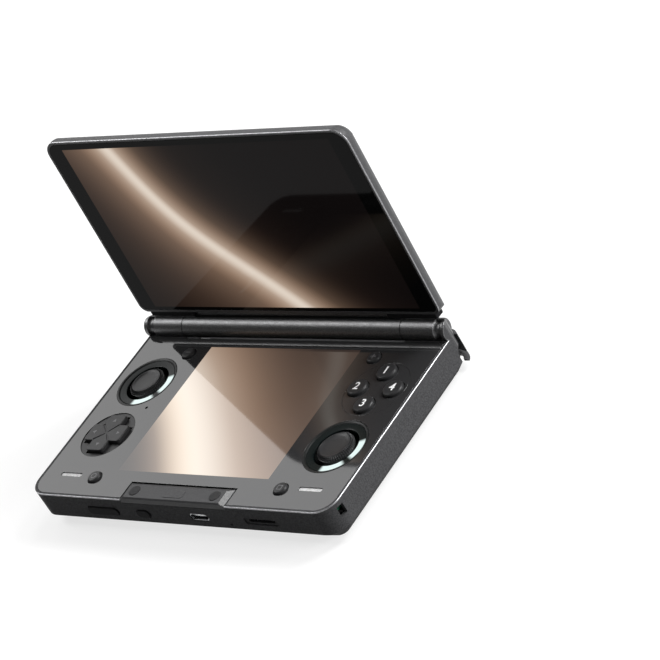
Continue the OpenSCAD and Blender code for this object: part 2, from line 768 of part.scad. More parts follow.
// Diffuser ring round a stick: a cone that slopes inward, on a skirt that stands in the well
module light_ring(x, y) {
  low = 0.02 - well_depth;
  inner = ring_out - 0.9;
  color("#e4f6f4") on_deck() translate([x, y, 0]) rotate_extrude($fn = fine_fn)
    polygon([[ring_in, -1.7], [ring_in, -1.45], [ring_out, -0.25], [ring_out, low],
      [inner, low], [inner, -2.2]]);
}

module left_light_ring() { light_ring(-side_x, far_y); }
module right_light_ring() { light_ring(side_x, near_y); }

// Cross outline, grown by grow all round
module cross_outline(grow = 0) {
  square([2 * (cross_l + grow), 2 * (cross_w + grow)], center = true);
  square([2 * (cross_w + grow), 2 * (cross_l + grow)], center = true);
}

module at_pad() {
  on_deck() translate([-pad_x, pad_y, 0]) children();
}

module dpad_plate() {
  color("#2a2a2c") at_pad() difference() {
    translate([0, 0, plate_low]) cylinder(r = pad_r - seam_gap, h = 1.2);
    translate([0, 0, -2]) linear_extrude(3) cross_outline(0.4);
  }
}

// Ball on a stem that the cross pad rocks on
module dpad_pivot() {
  color("#77797c") at_pad() {
    translate([0, 0, dpad_pivot_z]) sphere(r = ball_r);
    translate([0, 0, -3.4]) cylinder(r = 0.8, h = 2.4);
    translate([0, 0, -3.65]) cylinder(r = 1.8, h = 0.5);
  }
}

module dpad_cross() {
  low = -1.8;
  groove = 0.35;
  color("#303033") at_pad() difference() {
    translate([0, 0, low]) linear_extrude(button_up - low) cross_outline();
    translate([0, 0, dpad_pivot_z]) sphere(r = ball_r + run_gap);
    translate([0, 0, low - 1]) cylinder(r = 1.3, h = 1.6);
    for (a = [45, 135]) translate([0, 0, button_up]) rotate([0, 0, a]) rotate([45, 0, 0])
      cube([2 * cross_w * sqrt(2), groove * sqrt(2), groove * sqrt(2)], center = true);
  }
}

module dpad_membrane() {
  color("#c9c9c4") at_pad() difference() {
    union() {
      translate([0, 0, board_top]) cylinder(r = pad_r - 1.1, h = 0.6);
      for (a = [0:90:270]) rotate(a) translate([6.6, 0, board_top]) cylinder(r = 1.7, h = 1.7);
    }
    translate([0, 0, board_top - 1]) cylinder(r = 0.6, h = 3);
  }
}

module at_button(i) {
  on_deck() translate([side_x + button_off * button_dirs[i][0],
    far_y + button_off * button_dirs[i][1], 0]) children();
}

module button_plate() {
  color("#2a2a2c") on_deck() difference() {
    translate([side_x, far_y, plate_low]) cylinder(r = plate_r - seam_gap, h = -plate_low);
    for (d = button_dirs) translate([side_x + button_off * d[0], far_y + button_off * d[1], -2])
      cylinder(r = button_r + move_gap, h = 3);
  }
}

module action_button(i) {
  flange = plate_low - 0.4;
  color("#2e2e31") at_button(i) rotate_extrude()
    polygon([[0, button_low], [button_r + 0.6, button_low], [button_r + 0.6, flange],
      [button_r, flange], [button_r, button_up - 0.5], [button_r - 0.5, button_up],
      [0, button_up]]);
}

module button_north() { action_button(0); }
module button_east() { action_button(1); }
module button_south() { action_button(2); }
module button_west() { action_button(3); }

module button_membrane() {
  color("#c9c9c4") on_deck() {
    translate([side_x, far_y, board_top]) cylinder(r = plate_r - 1.2, h = 0.5);
    for (d = button_dirs) translate([side_x + button_off * d[0], far_y + button_off * d[1],
      board_top]) cylinder(r = 2.2, h = button_low - button_travel - move_gap - board_top);
  }
}

// Small round button with a flange under the deck glass and a stem to its switch
module small_button(sx, y) {
  flange = glass_low - 0.4;
  color("#303033") on_deck() translate([sx * small_x, y, 0])
    rotate_extrude() polygon([[0, small_low], [1.2, small_low], [1.2, small_low + 1],
      [small_r + 0.6, small_low + 1], [small_r + 0.6, flange], [small_r, flange], [small_r, small_up - 0.4],
      [small_r - 0.4, small_up], [0, small_up]]);
}

module small_button_front_left() { small_button(-1, small_front_y); }
module small_button_front_right() { small_button(1, small_front_y); }
module small_button_rear_left() { small_button(-1, small_rear_y); }
module small_button_rear_right() { small_button(1, small_rear_y); }

// Shell that follows the base's outline from the rear wall round the corner
module corner_shell(s, x0, y0, z0, z1, wall) {
  intersection() {
    difference() {
      plan_slab(z0, z1, -shoulder_proud);
      plan_slab(z0 - 1, z1 + 1, wall);
    }
    block([s > 0 ? x0 : -half_w - 5, y0, z0 - 1], [s > 0 ? half_w + 5 : -x0, past_rear, z1 + 1]);
  }
}

// Button that wraps the rear corner and turns about an upright axle at its inner end
module shoulder_button(s) {
  low = shoulder_button_low;
  color("#353538") on_deck() difference() {
    union() {
      corner_shell(s, shoulder_in, body_d - 1.9, low, -shoulder_drop, 1.2);
      translate([s * shoulder_pivot_x, shoulder_pivot_y, shoulder_low + 0.1])
        cylinder(r = shoulder_hub_r, h = -shoulder_low - shoulder_drop - 0.2);
      block([s * shoulder_pivot_x - shoulder_hub_r, shoulder_pivot_y, shoulder_low + 0.1],
        [s * shoulder_pivot_x + shoulder_hub_r, body_d - 1, -shoulder_drop - 0.1]);
    }
    translate([s * shoulder_pivot_x, shoulder_pivot_y, -9]) cylinder(r = axle_r + run_gap, h = 9);
    translate([0, past_rear, 0]) rotate([90, 0, 0]) linear_extrude(20)
      polygon([[s * (shoulder_in - 10), shoulder_low], [s * (half_w - 12), shoulder_low],
        [s * (half_w + 2), low], [s * (shoulder_in - 10), low - 2]]);
  }
}

module left_shoulder_button() { shoulder_button(-1); }
module right_shoulder_button() { shoulder_button(1); }

// Trigger blade below the shoulder button, with a hub on a level axle
module trigger(s) {
  low = -13.6;
  top = shelf_low - 0.6;
  color("#353538") on_deck() difference() {
    union() {
      intersection() {
        corner_shell(s, shoulder_in + 1.4, trigger_pivot_y + 0.3, low, top, 1.2);
        translate([0, past_rear, 0]) rotate([90, 0, 0]) linear_extrude(20)
          polygon([[s * (shoulder_in - 10), top], [s * (half_w - 12.6), top],
            [s * (half_w + 1.2), -12.6], [s * (shoulder_in + 1.4), low], [s * (shoulder_in - 10), low]]);
      }
      side_rod(s, trigger_hub_in, trigger_hub_out, trigger_pivot_y, trigger_pivot, 1.5);
      side_prism(s, trigger_hub_in, trigger_hub_out)
        polygon([[trigger_pivot_y, trigger_pivot + 1.2], [body_d - 0.8, top - 0.3],
          [body_d - 0.8, -11.6], [trigger_pivot_y, trigger_pivot - 1.3]]);
    }
    side_rod(s, shoulder_in, half_w, trigger_pivot_y, trigger_pivot, axle_r + run_gap);
  }
}

module left_trigger() { trigger(-1); }
module right_trigger() { trigger(1); }

module trigger_axles() {
  color("#9a9da1") on_deck() for (s = [-1, 1])
    side_rod(s, trigger_in - 1.4, trigger_hub_out + 3, trigger_pivot_y, trigger_pivot, axle_r);
}

module shoulder_axles() {
  color("#9a9da1") on_deck() for (s = [-1, 1])
    translate([s * shoulder_pivot_x, shoulder_pivot_y, shelf_low])
      cylinder(r = axle_r, h = 6.7);
}

// Key in the front wall: a face that stands proud and a flange behind the wall
module edge_key(x, w) {
  on_deck() {
    y_slot(x, key_mid, w, edge_key_h, -key_proud, 2.1);
    y_slot(x, key_mid, w + 1.6, edge_key_h + 1.6, 2, 2.8);
  }
}

module volume_rocker() {
  color("#2c2c2f") edge_key(rocker_x, rocker_w);
}

module power_button() {
  color("#2c2c2f") edge_key(power_x, power_w);
}

module usb_port() {
  color("#b8babd") on_deck() {
    difference() {
      y_slot(port_x, key_mid, port_w, port_h, 0.3, 8);
      y_slot(port_x, key_mid, port_w - 0.6, port_h - 0.6, -1, 7.4);
    }
    block([port_x - 3.3, 1.2, key_mid - 0.35], [port_x + 3.3, 7.5, key_mid + 0.35]);
  }
}

module card_reader() {
  color("#a9abae") on_deck() difference() {
    block([card_x - 7.6, 1.6, key_mid - 1.1], [card_x + 7.6, 15.6, key_mid + 1.1]);
    block([card_x - 6.2, 1, key_mid - 0.7], [card_x + 6.2, 14.6, key_mid + 0.7]);
  }
}

module shell_screws() {
  color("#707276") on_deck() for (p = screw_places) translate([p[0], p[1], underside + 0.2]) {
    difference() {
      cylinder(r = screw_head_r, h = 0.95);
      translate([0, 0, -0.1]) cylinder(r = 0.9, h = 0.7, $fn = 6);
    }
    translate([0, 0, 0.9]) cylinder(r = screw_r - 0.15, h = 6.6);
  }
}

module hinge_pins() {
  color("#9a9da1") on_deck() for (s = [-1, 1])
    side_rod(s, hinge_pin_end - hinge_pin_l, hinge_pin_end, axis_y, axis_up, hinge_pin_r);
}

// Outline of the lid seen from above, shut, pulled in by inset all round
module lid_plan(inset = 0) {
  hw = half_w - inset;
  rf = lid_far_r - inset;
  rn = lid_near_r - inset;
  for (s = [-1, 1]) {
    translate([s * (hw - rf), lid_end + lid_far_r]) circle(r = rf);
    translate([s * (hw - rn), -lid_root - lid_near_r]) circle(r = rn);
  }
  far_y0 = lid_end + lid_far_r;
  near_y0 = -lid_root - lid_near_r;
  translate([-hw, far_y0]) square([2 * hw, near_y0 - far_y0]);
  translate([rf - hw, lid_end + inset]) square([2 * (hw - rf), 20]);
  translate([rn - hw, -lid_root - 20]) square([2 * (hw - rn), 20 - inset]);
}

module lid_slab(z0, z1, inset = 0) {
  translate([0, 0, z0]) linear_extrude(z1 - z0) lid_plan(inset);
}

// Solid form of the lid: its outline with the back rounded into the two sides and the far edge
module lid_form(inset = 0) {
  r = lid_back_r - inset;
  top = back_z - inset;
  hw = half_w - inset;
  edge = 1.5;
  intersection() {
    lid_slab(-glass_z, top, inset);
    rotate([90, 0, 0]) linear_extrude(axis_y + 5) {
      translate([-hw, -glass_z - 1]) square([2 * hw, top - r + glass_z + 1]);
      translate([r - hw, -glass_z - 1]) square([2 * (hw - r), top + glass_z + 1]);
      for (s = [-1, 1]) translate([s * (hw - r), top - r]) circle(r = r);
    }
    x_prism(half_w + 1) {
      polygon([[lid_end + inset, -glass_z - 1], [-lid_root - inset, -glass_z - 1],
        [-lid_root - inset, top - edge], [-lid_root - inset - edge, top],
        [lid_end + inset + r, top], [lid_end + inset, top - r]]);
      translate([lid_end + inset + r, top - r]) circle(r = r);
    }
  }
}

// Slot that the ribbon passes through, from y0 to y1
module ribbon_slot(y0, y1) {
  block([-ribbon_half - 1, y0, ribbon_low], [ribbon_half + 1, y1, ribbon_high]);
}

module lid_back() {
  color("#4a4a4d") on_lid() difference() {
    lid_form();
    difference() {
      lid_form(lid_wall);
      lid_slab(-glass_z - 2, 1 - glass_z, 0);
    }
    lid_slab(-glass_z - 1, 0.8 - glass_z, rim_w);
    lid_slab(-glass_z - 1, 1.2 - glass_z, rim_w + 0.5);
    ribbon_slot(-lid_root - 3, -lid_root + 1);
  }
}

module lid_glass() {
  color("#141415") on_lid() lid_slab(-glass_z, deck_glass_t - glass_z, rim_w + seam_gap);
}

module upper_display() {
  low = deck_glass_t + 0.1 - glass_z;
  color("#8d7463") on_lid()
    block([-up_disp_w / 2, -lid_root - up_disp_root - up_disp_h, low],
      [up_disp_w / 2, -lid_root - up_disp_root, low + 1.2]);
}

// Stiffening plate behind the upper display
module lid_bracket() {
  low = 1.8;
  leaf_x = half_w - 17;
  leaf_high = back_z - lid_wall - 0.5;
  color("#6d6f72") on_lid() difference() {
    union() {
      block([5 - half_w, lid_end + 4, low], [half_w - 5, -lid_root - 7.6, low + 0.8]);
      for (s = [-1, 1])
        block([s * leaf_x - 11, -40, low], [s * leaf_x + 11, -lid_root - 3, leaf_high]);
    }
    for (x = [-40, 0, 40]) block([x - 14, -70, low - 1], [x + 14, -30, low + 2]);
  }
}

// Round barrel that turns on the pins, with the neck's two ends behind it
module hinge_barrel() {
  color("#39393c") on_lid() difference() {
    union() {
      side_rod(1, -barrel_half, barrel_half, 0, 0, barrel_r);
      for (s = [-1, 1]) side_prism(s, neck_half + 0.05, neck_end) neck_outline();
    }
    for (s = [-1, 1])
      side_rod(s, hinge_pin_end - hinge_pin_l - 0.2, half_w, 0, 0, hinge_pin_r + run_gap);
    side_rod(1, -36, 36, 0, 0, 2.9);
    ribbon_slot(-6, 0);
  }
}

// Section of the neck that joins the barrel to the lid, round where the lid's back ends
module neck_outline() {
  r = 4;
  rear = barrel_r - 0.15;
  polygon(concat(
    [[-barrel_r * 0.6, 0], [-barrel_r * 0.6, neck_low], [-lid_root, neck_low],
      [-lid_root, back_z]],
    [for (a = [90:-10:0]) [rear - r + r * cos(a), back_z - r + r * sin(a)]],
    [[rear, 0]]));
}

module hinge_cover() {
  color("#434346") on_lid() difference() {
    side_prism(1, -neck_half, neck_half) neck_outline();
    side_rod(1, -half_w, half_w, 0, 0, barrel_r + 0.02);
    ribbon_slot(-lid_root - 1, 0);
  }
}

// Ribbon that is rolled up in the barrel and runs through the neck to the upper display
module display_flex() {
  color("#c47f2c") on_lid() {
    difference() {
      side_rod(1, -ribbon_half, ribbon_half, 0, 0, 2.6);
      side_rod(1, -ribbon_half - 1, ribbon_half + 1, 0, 0, 2.1);
    }
    block([-ribbon_half, -lid_root - 5.6, ribbon_low + 0.15],
      [ribbon_half, -0.4, ribbon_high - 0.15]);
  }
}

bottom_shell();
base_frame();
deck_glass();
inner_chassis();
lower_display();
bumper_bar();
bumper_pads();
mainboard();
battery();
fan_housing();
fan_rotor();
heat_pipe();
heat_fins();
left_speaker();
right_speaker();
left_stick_base();
right_stick_base();
left_stick_yoke();
right_stick_yoke();
left_stick_shaft();
right_stick_shaft();
left_stick_cap();
right_stick_cap();
left_light_ring();
right_light_ring();
dpad_plate();
dpad_pivot();
dpad_cross();
dpad_membrane();
button_plate();
button_north();
button_east();
button_south();
button_west();
button_membrane();
small_button_front_left();
small_button_front_right();
small_button_rear_left();
small_button_rear_right();
left_shoulder_button();
right_shoulder_button();
left_trigger();
right_trigger();
trigger_axles();
shoulder_axles();
volume_rocker();
power_button();
usb_port();
card_reader();
shell_screws();
hinge_pins();
lid_back();
lid_glass();
upper_display();
lid_bracket();
hinge_barrel();
hinge_cover();
display_flex();
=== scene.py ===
# %% [markdown]
# # A clamshell handheld console, dressed around its CAD frame
# The console is a base with sticks, a cross pad and buttons, and a lid that carries the large
# display. Its construction comes packed as a frame: every part is already at its real size and
# place, in metres. This lesson gives each part its finish, and remodels by hand the parts whose
# looks depend on rounded edges, knurling and small marks.

# %% Load the frame
import json
import math

import bmesh
import bpy
from mathutils import Matrix, Vector


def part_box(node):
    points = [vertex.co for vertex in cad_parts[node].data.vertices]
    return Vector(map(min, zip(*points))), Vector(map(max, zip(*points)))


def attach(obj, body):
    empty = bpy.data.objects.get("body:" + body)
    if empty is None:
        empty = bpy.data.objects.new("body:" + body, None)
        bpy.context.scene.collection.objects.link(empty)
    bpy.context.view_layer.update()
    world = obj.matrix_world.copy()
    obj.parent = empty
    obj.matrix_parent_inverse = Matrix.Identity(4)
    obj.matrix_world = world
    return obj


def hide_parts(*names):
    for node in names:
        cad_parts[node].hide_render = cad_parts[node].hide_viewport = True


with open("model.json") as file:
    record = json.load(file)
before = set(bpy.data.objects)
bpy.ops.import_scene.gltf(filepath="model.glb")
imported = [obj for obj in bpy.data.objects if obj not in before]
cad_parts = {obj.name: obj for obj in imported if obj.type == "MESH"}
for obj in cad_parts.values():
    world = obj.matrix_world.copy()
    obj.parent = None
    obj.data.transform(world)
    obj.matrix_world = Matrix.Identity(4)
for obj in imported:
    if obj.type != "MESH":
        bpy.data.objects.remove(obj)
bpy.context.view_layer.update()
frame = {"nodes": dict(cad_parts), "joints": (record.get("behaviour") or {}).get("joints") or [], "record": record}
NODES = frame["nodes"]
JOINTS = {joint["name"]: joint for joint in frame["joints"]}
MM = 0.001

# %% [markdown]
# ## Where things are
# Nothing is typed twice: the deck's height, the hinge and the middle of each control are read
# from the frame. A box gives a part's lowest and highest corner, so the middle of a round part
# is the middle of its box. Only the angle of the open lid is given here.

# %% Places read from the frame
def middle(node):
    low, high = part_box(node)
    return (low + high) / 2


def high_z(node):
    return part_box(node)[1].z


deck_z = high_z("deck_glass")
front_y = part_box("bottom_shell")[0].y
half_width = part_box("base_frame")[1].x
HINGE = Vector(JOINTS["lid_hinge"]["pos_m"])
LID_OPEN = math.radians(92.5)
STICKS = {"left": middle("left_stick_cap"), "right": middle("right_stick_cap")}
print("deck at", round(deck_z / MM, 2), "mm, hinge at", [round(v / MM, 2) for v in HINGE])

# %% [markdown]
# ## The camera
# A long lens far away keeps the console's edges nearly parallel. The camera stands to the
# player's right, above the deck, and is rolled a little, so that the base seems to lean.

# %% The camera
EYE = Vector((758.46, -550.49, 579.10)) * MM
TURN = (55.144, 26.879, 33.887)
LENS = 164.95

scene = bpy.context.scene
scene.view_settings.view_transform = "Standard"
camera = bpy.data.objects.new("camera", bpy.data.cameras.new("camera"))
scene.collection.objects.link(camera)
camera.location = EYE
camera.rotation_euler = [math.radians(angle) for angle in TURN]
camera.data.sensor_width = 36
camera.data.lens = LENS
camera.data.clip_start = 0.01
scene.camera = camera
print("camera", round(EYE.length, 3), "m from the console")

# %% [markdown]
# ## Small tools for materials
# Every finish starts from the Principled shader. Its colour is broken up by fine noise, because
# moulded plastic and paint are never quite even, and a second noise raises a bump for the grain.
# Both read Object coordinates: an object sits at the frame's origin, so they are real metres.

# %% Tools for materials
def new_material(name, color, roughness, metallic=0.0, ior=1.5):
    material = bpy.data.materials.new(name)
    material.use_nodes = True
    shader = material.node_tree.nodes["Principled BSDF"]
    shader.inputs["Base Color"].default_value = (*color, 1)
    shader.inputs["Roughness"].default_value = roughness
    shader.inputs["Metallic"].default_value = metallic
    shader.inputs["IOR"].default_value = ior
    return material


def add_node(material, kind, **settings):
    node = material.node_tree.nodes.new("ShaderNode" + kind)
    for key, value in settings.items():
        if hasattr(node, key):
            setattr(node, key, value)
        else:
            node.inputs[key.replace("_", " ")].default_value = value
    return node


def link(material, start, end):
    material.node_tree.links.new(start, end)


def object_place(material):
    return add_node(material, "TexCoord").outputs["Object"]


def shader_of(material):
    return material.node_tree.nodes["Principled BSDF"]


def noise(material, size, detail=2.0):
    """Noise whose grains are size metres wide."""
    node = add_node(material, "TexNoise", Scale=1 / size, Detail=detail)
    link(material, object_place(material), node.inputs["Vector"])
    return node.outputs["Fac"]


def vary_color(material, color, spread, size):
    """The colour wanders by spread, lighter and darker, over patches of that size."""
    ramp = add_node(material, "ValToRGB")
    dark, light = ramp.color_ramp.elements
    dark.position, light.position = 0.3, 0.7
    dark.color = (*[c * (1 - spread) for c in color], 1)
    light.color = (*[c * (1 + spread) for c in color], 1)
    link(material, noise(material, size), ramp.inputs["Fac"])
    link(material, ramp.outputs["Color"], shader_of(material).inputs["Base Color"])


def grain(material, size, height):
    """A fine raised grain, height metres deep."""
    bump = add_node(material, "Bump", Strength=1.0, Distance=height)
    link(material, noise(material, size), bump.inputs["Height"])
    link(material, bump.outputs["Normal"], shader_of(material).inputs["Normal"])


def vary_roughness(material, low, high, size):
    spread = add_node(material, "MapRange", To_Min=low, To_Max=high)
    link(material, noise(material, size, 4.0), spread.inputs["Value"])
    link(material, spread.outputs["Result"], shader_of(material).inputs["Roughness"])


# %% [markdown]
# ## Painted, moulded and metal finishes
# The housings have a satin coat with a grain that is just visible close up. The keys are smoother
# moulded plastic, the stick caps and pads are rubber, and the hidden carriers are metal. One
# function makes them all from two tables: colour, roughness, and the grain's size and height in
# millimetres. The index of refraction sets how strongly a plain finish mirrors; the housings
# mirror least, because their coat is matt.

# %% The plain finishes
FINISHES = {
    "shell_plastic": ((0.016, 0.016, 0.017), 0.55, 0.45, 0.020),
    "frame_paint": ((0.055, 0.055, 0.057), 0.55, 0.40, 0.040),
    "lid_paint": ((0.055, 0.055, 0.057), 0.45, 0.40, 0.030),
    "bar_plastic": ((0.050, 0.050, 0.052), 0.50, 0.30, 0.020),
    "button_plastic": ((0.026, 0.026, 0.027), 0.34, 0.25, 0.006),
    "pad_rubber": ((0.028, 0.028, 0.029), 0.75, 0.40, 0.015),
    "stick_rubber": ((0.024, 0.024, 0.025), 0.36, 0.20, 0.006),
    "stick_plastic": ((0.012, 0.013, 0.013), 0.35, 0.50, 0.005),
    "membrane_rubber": ((0.45, 0.45, 0.43), 0.60, 0.50, 0.010),
    "cell_wrap": ((0.06, 0.07, 0.08), 0.30, 3.00, 0.030),
    "board": ((0.02, 0.16, 0.08), 0.40, 0.80, 0.010),
    "ribbon": ((0.60, 0.32, 0.08), 0.35, 1.00, 0.010),
    "print_white": ((0.85, 0.85, 0.85), 0.45, 0.30, 0.002),
    "print_grey": ((0.16, 0.16, 0.165), 0.45, 0.30, 0.002),
    "speaker_mesh": ((0.50, 0.50, 0.50), 0.45, 0.60, 0.004),
    "polish": ((0.10, 0.10, 0.10), 0.12, 0.60, 0.001),
}
METALS = {
    # Brighter metal for the rims on the right and front only: a painted highlight where the lamps catch the edge.
    "edge_sheen": ((0.30, 0.30, 0.31), 0.36, 0.40, 0.004),
    "barrel_coat": ((0.13, 0.13, 0.132), 0.42, 0.35, 0.010),
    "steel": ((0.55, 0.56, 0.57), 0.28, 0.40, 0.004),
    "chassis_metal": ((0.30, 0.31, 0.32), 0.40, 0.30, 0.006),
    "black_coat": ((0.020, 0.021, 0.021), 0.30, 0.30, 0.003),
    "copper": ((0.72, 0.42, 0.25), 0.30, 0.50, 0.004),
}
PLAIN_IOR = 1.28
IOR = {"shell_plastic": 1.1, "frame_paint": 1.1, "stick_rubber": 1.3}
COLOR_SPREAD, COLOR_PATCH = 0.30, 1.2
ROUGHNESS_SPREAD, ROUGHNESS_PATCH = 0.05, 8


def finish_material(name, color, roughness, size, height, metallic=0.0):
    material = new_material(name, color, roughness, metallic, IOR.get(name, PLAIN_IOR))
    vary_color(material, color, COLOR_SPREAD, COLOR_PATCH * size * MM)
    vary_roughness(material, roughness - ROUGHNESS_SPREAD, roughness + ROUGHNESS_SPREAD,
                   ROUGHNESS_PATCH * size * MM)
    grain(material, size * MM, height * MM)
    return material


MATERIALS = {name: finish_material(name, *facts) for name, facts in FINISHES.items()}
MATERIALS.update({name: finish_material(name, *facts, 1.0) for name, facts in METALS.items()})
print(len(MATERIALS), "plain finishes")

# %% [markdown]
# ## Pictures on glass
# Both displays sit behind black glass, so a lit picture belongs to the glass: it glows inside the
# active rectangle and the rest stays black. The picture is soft diagonal bands of brown and cream,
# made from a warped gradient and a ramp. A rectangle is two comparisons, one for each axis.

# %% Tools for the displays
WARP, WARP_SIZE = 0.35, 0.11


def math_node(material, operation, first, second):
    node = add_node(material, "Math", operation=operation)
    for socket, value in zip(node.inputs, (first, second)):
        if isinstance(value, (int, float)):
            socket.default_value = value
        else:
            link(material, value, socket)
    return node.outputs[0]


def between(material, value, low, high):
    above = math_node(material, "GREATER_THAN", value, low)
    below = math_node(material, "LESS_THAN", value, high)
    return math_node(material, "MULTIPLY", above, below)


def ramp_node(material, factor, stops):
    ramp = add_node(material, "ValToRGB")
    ramp.color_ramp.interpolation = "B_SPLINE"
    elements = ramp.color_ramp.elements
    while len(elements) < len(stops):
        elements.new(0.5)
    for element, (position, color) in zip(elements, stops):
        element.position = position
        element.color = (*color, 1)
    link(material, factor, ramp.inputs["Fac"])
    return ramp.outputs["Color"]


def lit_picture(material, across, up, low, high, slope, stops):
    """Lights diagonal bands inside a rectangle; across and up name the two axes."""
    split = add_node(material, "SeparateXYZ")
    link(material, object_place(material), split.inputs["Vector"])
    u, v = split.outputs[across], split.outputs[up]
    inside = math_node(material, "MULTIPLY", between(material, u, low[0], high[0]),
                       between(material, v, low[1], high[1]))
    width, height = high[0] - low[0], high[1] - low[1]
    s = math_node(material, "DIVIDE", math_node(material, "SUBTRACT", u, low[0]), width)
    t = math_node(material, "DIVIDE", math_node(material, "SUBTRACT", v, low[1]), height)
    wave = math_node(material, "MULTIPLY", noise(material, WARP_SIZE, 0.0), WARP)
    course = math_node(material, "ADD", math_node(material, "MULTIPLY", s, 1 - slope),
                       math_node(material, "MULTIPLY", t, slope))
    color = ramp_node(material, math_node(material, "ADD", course, wave), stops)
    shader = shader_of(material)
    link(material, color, shader.inputs["Emission Color"])
    link(material, inside, shader.inputs["Emission Strength"])


# %% [markdown]
# Each picture is a little smaller than its display, so a black line stays round it. The deck
# glass mirrors the lid and the lamps. Its shading normal is leaned by a small constant amount,
# which moves those reflections across the deck without changing the glass itself.

# %% The two glasses
BLACK, UMBER, BROWN = (0.003, 0.002, 0.002), (0.03, 0.018, 0.013), (0.12, 0.075, 0.052)
TAN, CREAM, IVORY = (0.38, 0.25, 0.17), (0.78, 0.62, 0.47), (0.90, 0.82, 0.72)
UPPER_STOPS = [(0.16, BLACK), (0.32, UMBER), (0.45, BROWN), (0.52, TAN), (0.56, IVORY),
               (0.59, TAN), (0.66, UMBER), (0.78, BLACK), (1.0, BLACK)]
LOWER_STOPS = [(0.22, BLACK), (0.34, BROWN), (0.42, CREAM), (0.50, IVORY), (0.62, TAN),
               (0.78, BROWN), (0.95, UMBER)]
UPPER_SLOPE, LOWER_SLOPE = 0.28, 0.5
LEAN = (-0.041, -0.072, 0)

lid_glass_material = new_material("lid_glass", (0.004, 0.004, 0.004), 0.04, ior=1.12)
low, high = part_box("upper_display")
lit_picture(lid_glass_material, "X", "Z", (low.x + 1.1 * MM, low.z + MM),
            (high.x - 1.1 * MM, high.z - MM), UPPER_SLOPE, UPPER_STOPS)

deck_glass_material = new_material("deck_glass", (0.028, 0.028, 0.029), 0.05, ior=1.62)
low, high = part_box("lower_display")
lit_picture(deck_glass_material, "X", "Y", (low.x + 1.2 * MM, low.y + 1.1 * MM),
            (high.x - 1.2 * MM, high.y - 1.1 * MM), LOWER_SLOPE, LOWER_STOPS)


def lean_normal(material, amount):
    lean = add_node(material, "VectorMath", operation="ADD")
    lean.inputs[1].default_value = amount
    link(material, add_node(material, "NewGeometry").outputs["Normal"], lean.inputs[0])
    level = add_node(material, "VectorMath", operation="NORMALIZE")
    link(material, lean.outputs["Vector"], level.inputs[0])
    link(material, level.outputs["Vector"], shader_of(material).inputs["Normal"])


lean_normal(deck_glass_material, LEAN)
print("two glasses with lit pictures")

# %% [markdown]
# ## The light rings
# A smoked ring lines each well. Two soft glowing patches on the side that faces the player are
# painted light, where the ring catches the lamps, and the dark gap between them stands for the
# cap's shadow. For each patch the place on the ring is compared with a direction, and the glow
# rises smoothly where they agree.

# %% Light ring material
# Headings in degrees of the two painted light patches on each ring, on the side facing the player.
PAINTED_LIGHT_TURNS = (-66, -2)
GLOW_START, GLOW_FULL, GLOW_LEVEL = 0.88, 0.95, 0.95


def ring_material(side):
    material = new_material(side + "_diffuser", (0.006, 0.009, 0.009), 0.25, ior=1.18)
    offset = add_node(material, "VectorMath", operation="SUBTRACT")
    offset.inputs[1].default_value = STICKS[side]
    link(material, object_place(material), offset.inputs[0])
    turned = add_node(material, "VectorMath", operation="NORMALIZE")
    link(material, offset.outputs["Vector"], turned.inputs[0])
    patches = []
    for turn in PAINTED_LIGHT_TURNS:
        toward = add_node(material, "VectorMath", operation="DOT_PRODUCT")
        heading = math.radians(turn)
        toward.inputs[1].default_value = (math.cos(heading), math.sin(heading), 0)
        link(material, turned.outputs["Vector"], toward.inputs[0])
        glow = add_node(material, "MapRange", interpolation_type="SMOOTHSTEP",
                        From_Min=GLOW_START, From_Max=GLOW_FULL)
        link(material, toward.outputs["Value"], glow.inputs["Value"])
        patches.append(glow.outputs["Result"])
    # The patches are painted light: the ring has no lamp of its own that lights just this side.
    lit = math_node(material, "MAXIMUM", *patches)
    shader = shader_of(material)
    shader.inputs["Emission Color"].default_value = (0.86, 1.0, 0.98, 1)
    link(material, math_node(material, "MULTIPLY", lit, GLOW_LEVEL),
         shader.inputs["Emission Strength"])
    return material


for side in STICKS:
    MATERIALS[side + "_diffuser"] = ring_material(side)
MATERIALS["lid_glass"] = lid_glass_material
MATERIALS["deck_glass"] = deck_glass_material
print(len(MATERIALS), "finishes in all")

# %% [markdown]
# ## Small tools for modelling
# An operator acts on everything that is selected, so each step first clears the selection and
# then picks faces or edges in code, by where they are. A finished piece gets outward normals,
# smooth shading up to an angle, its place in its mesh, and the body that it rides on.

# %% Tools for modelling
SMOOTH_ANGLE = 35


def deselect():
    if bpy.context.mode != "OBJECT":
        bpy.ops.object.mode_set(mode="OBJECT")
    bpy.ops.object.select_all(action="DESELECT")


def activate(piece):
    deselect()
    piece.select_set(True)
    bpy.context.view_layer.objects.active = piece


def edit(piece):
    activate(piece)
    bpy.ops.object.mode_set(mode="EDIT")


def pick(piece, kind, test):
    """Selects the piece's faces or edges for which test(item) holds, in edit mode."""
    bpy.ops.mesh.select_mode(type="FACE" if kind == "faces" else "EDGE")
    mesh = bmesh.from_edit_mesh(piece.data)
    for item in [*mesh.verts, *mesh.edges, *mesh.faces]:
        item.select = False
    chosen = [item for item in getattr(mesh, kind) if test(item)]
    for item in chosen:
        item.select_set(True)
    bmesh.update_edit_mesh(piece.data)
    return len(chosen)


def mid(edge):
    return (edge.verts[0].co + edge.verts[1].co) / 2


def along(edge, axis):
    """True where the edge runs along that axis: 0, 1 or 2."""
    run = edge.verts[1].co - edge.verts[0].co
    return abs(run[axis]) > 0.99 * run.length


def apply_modifier(piece, kind, **settings):
    activate(piece)
    modifier = piece.modifiers.new(kind.lower(), kind)
    for key, value in settings.items():
        setattr(modifier, key, value)
    bpy.ops.object.modifier_apply(modifier=modifier.name)


def smooth_piece(piece, angle):
    activate(piece)
    bpy.ops.object.shade_smooth_by_angle(angle=math.radians(angle))
    apply_modifier(piece, "WEIGHTED_NORMAL", keep_sharp=True)


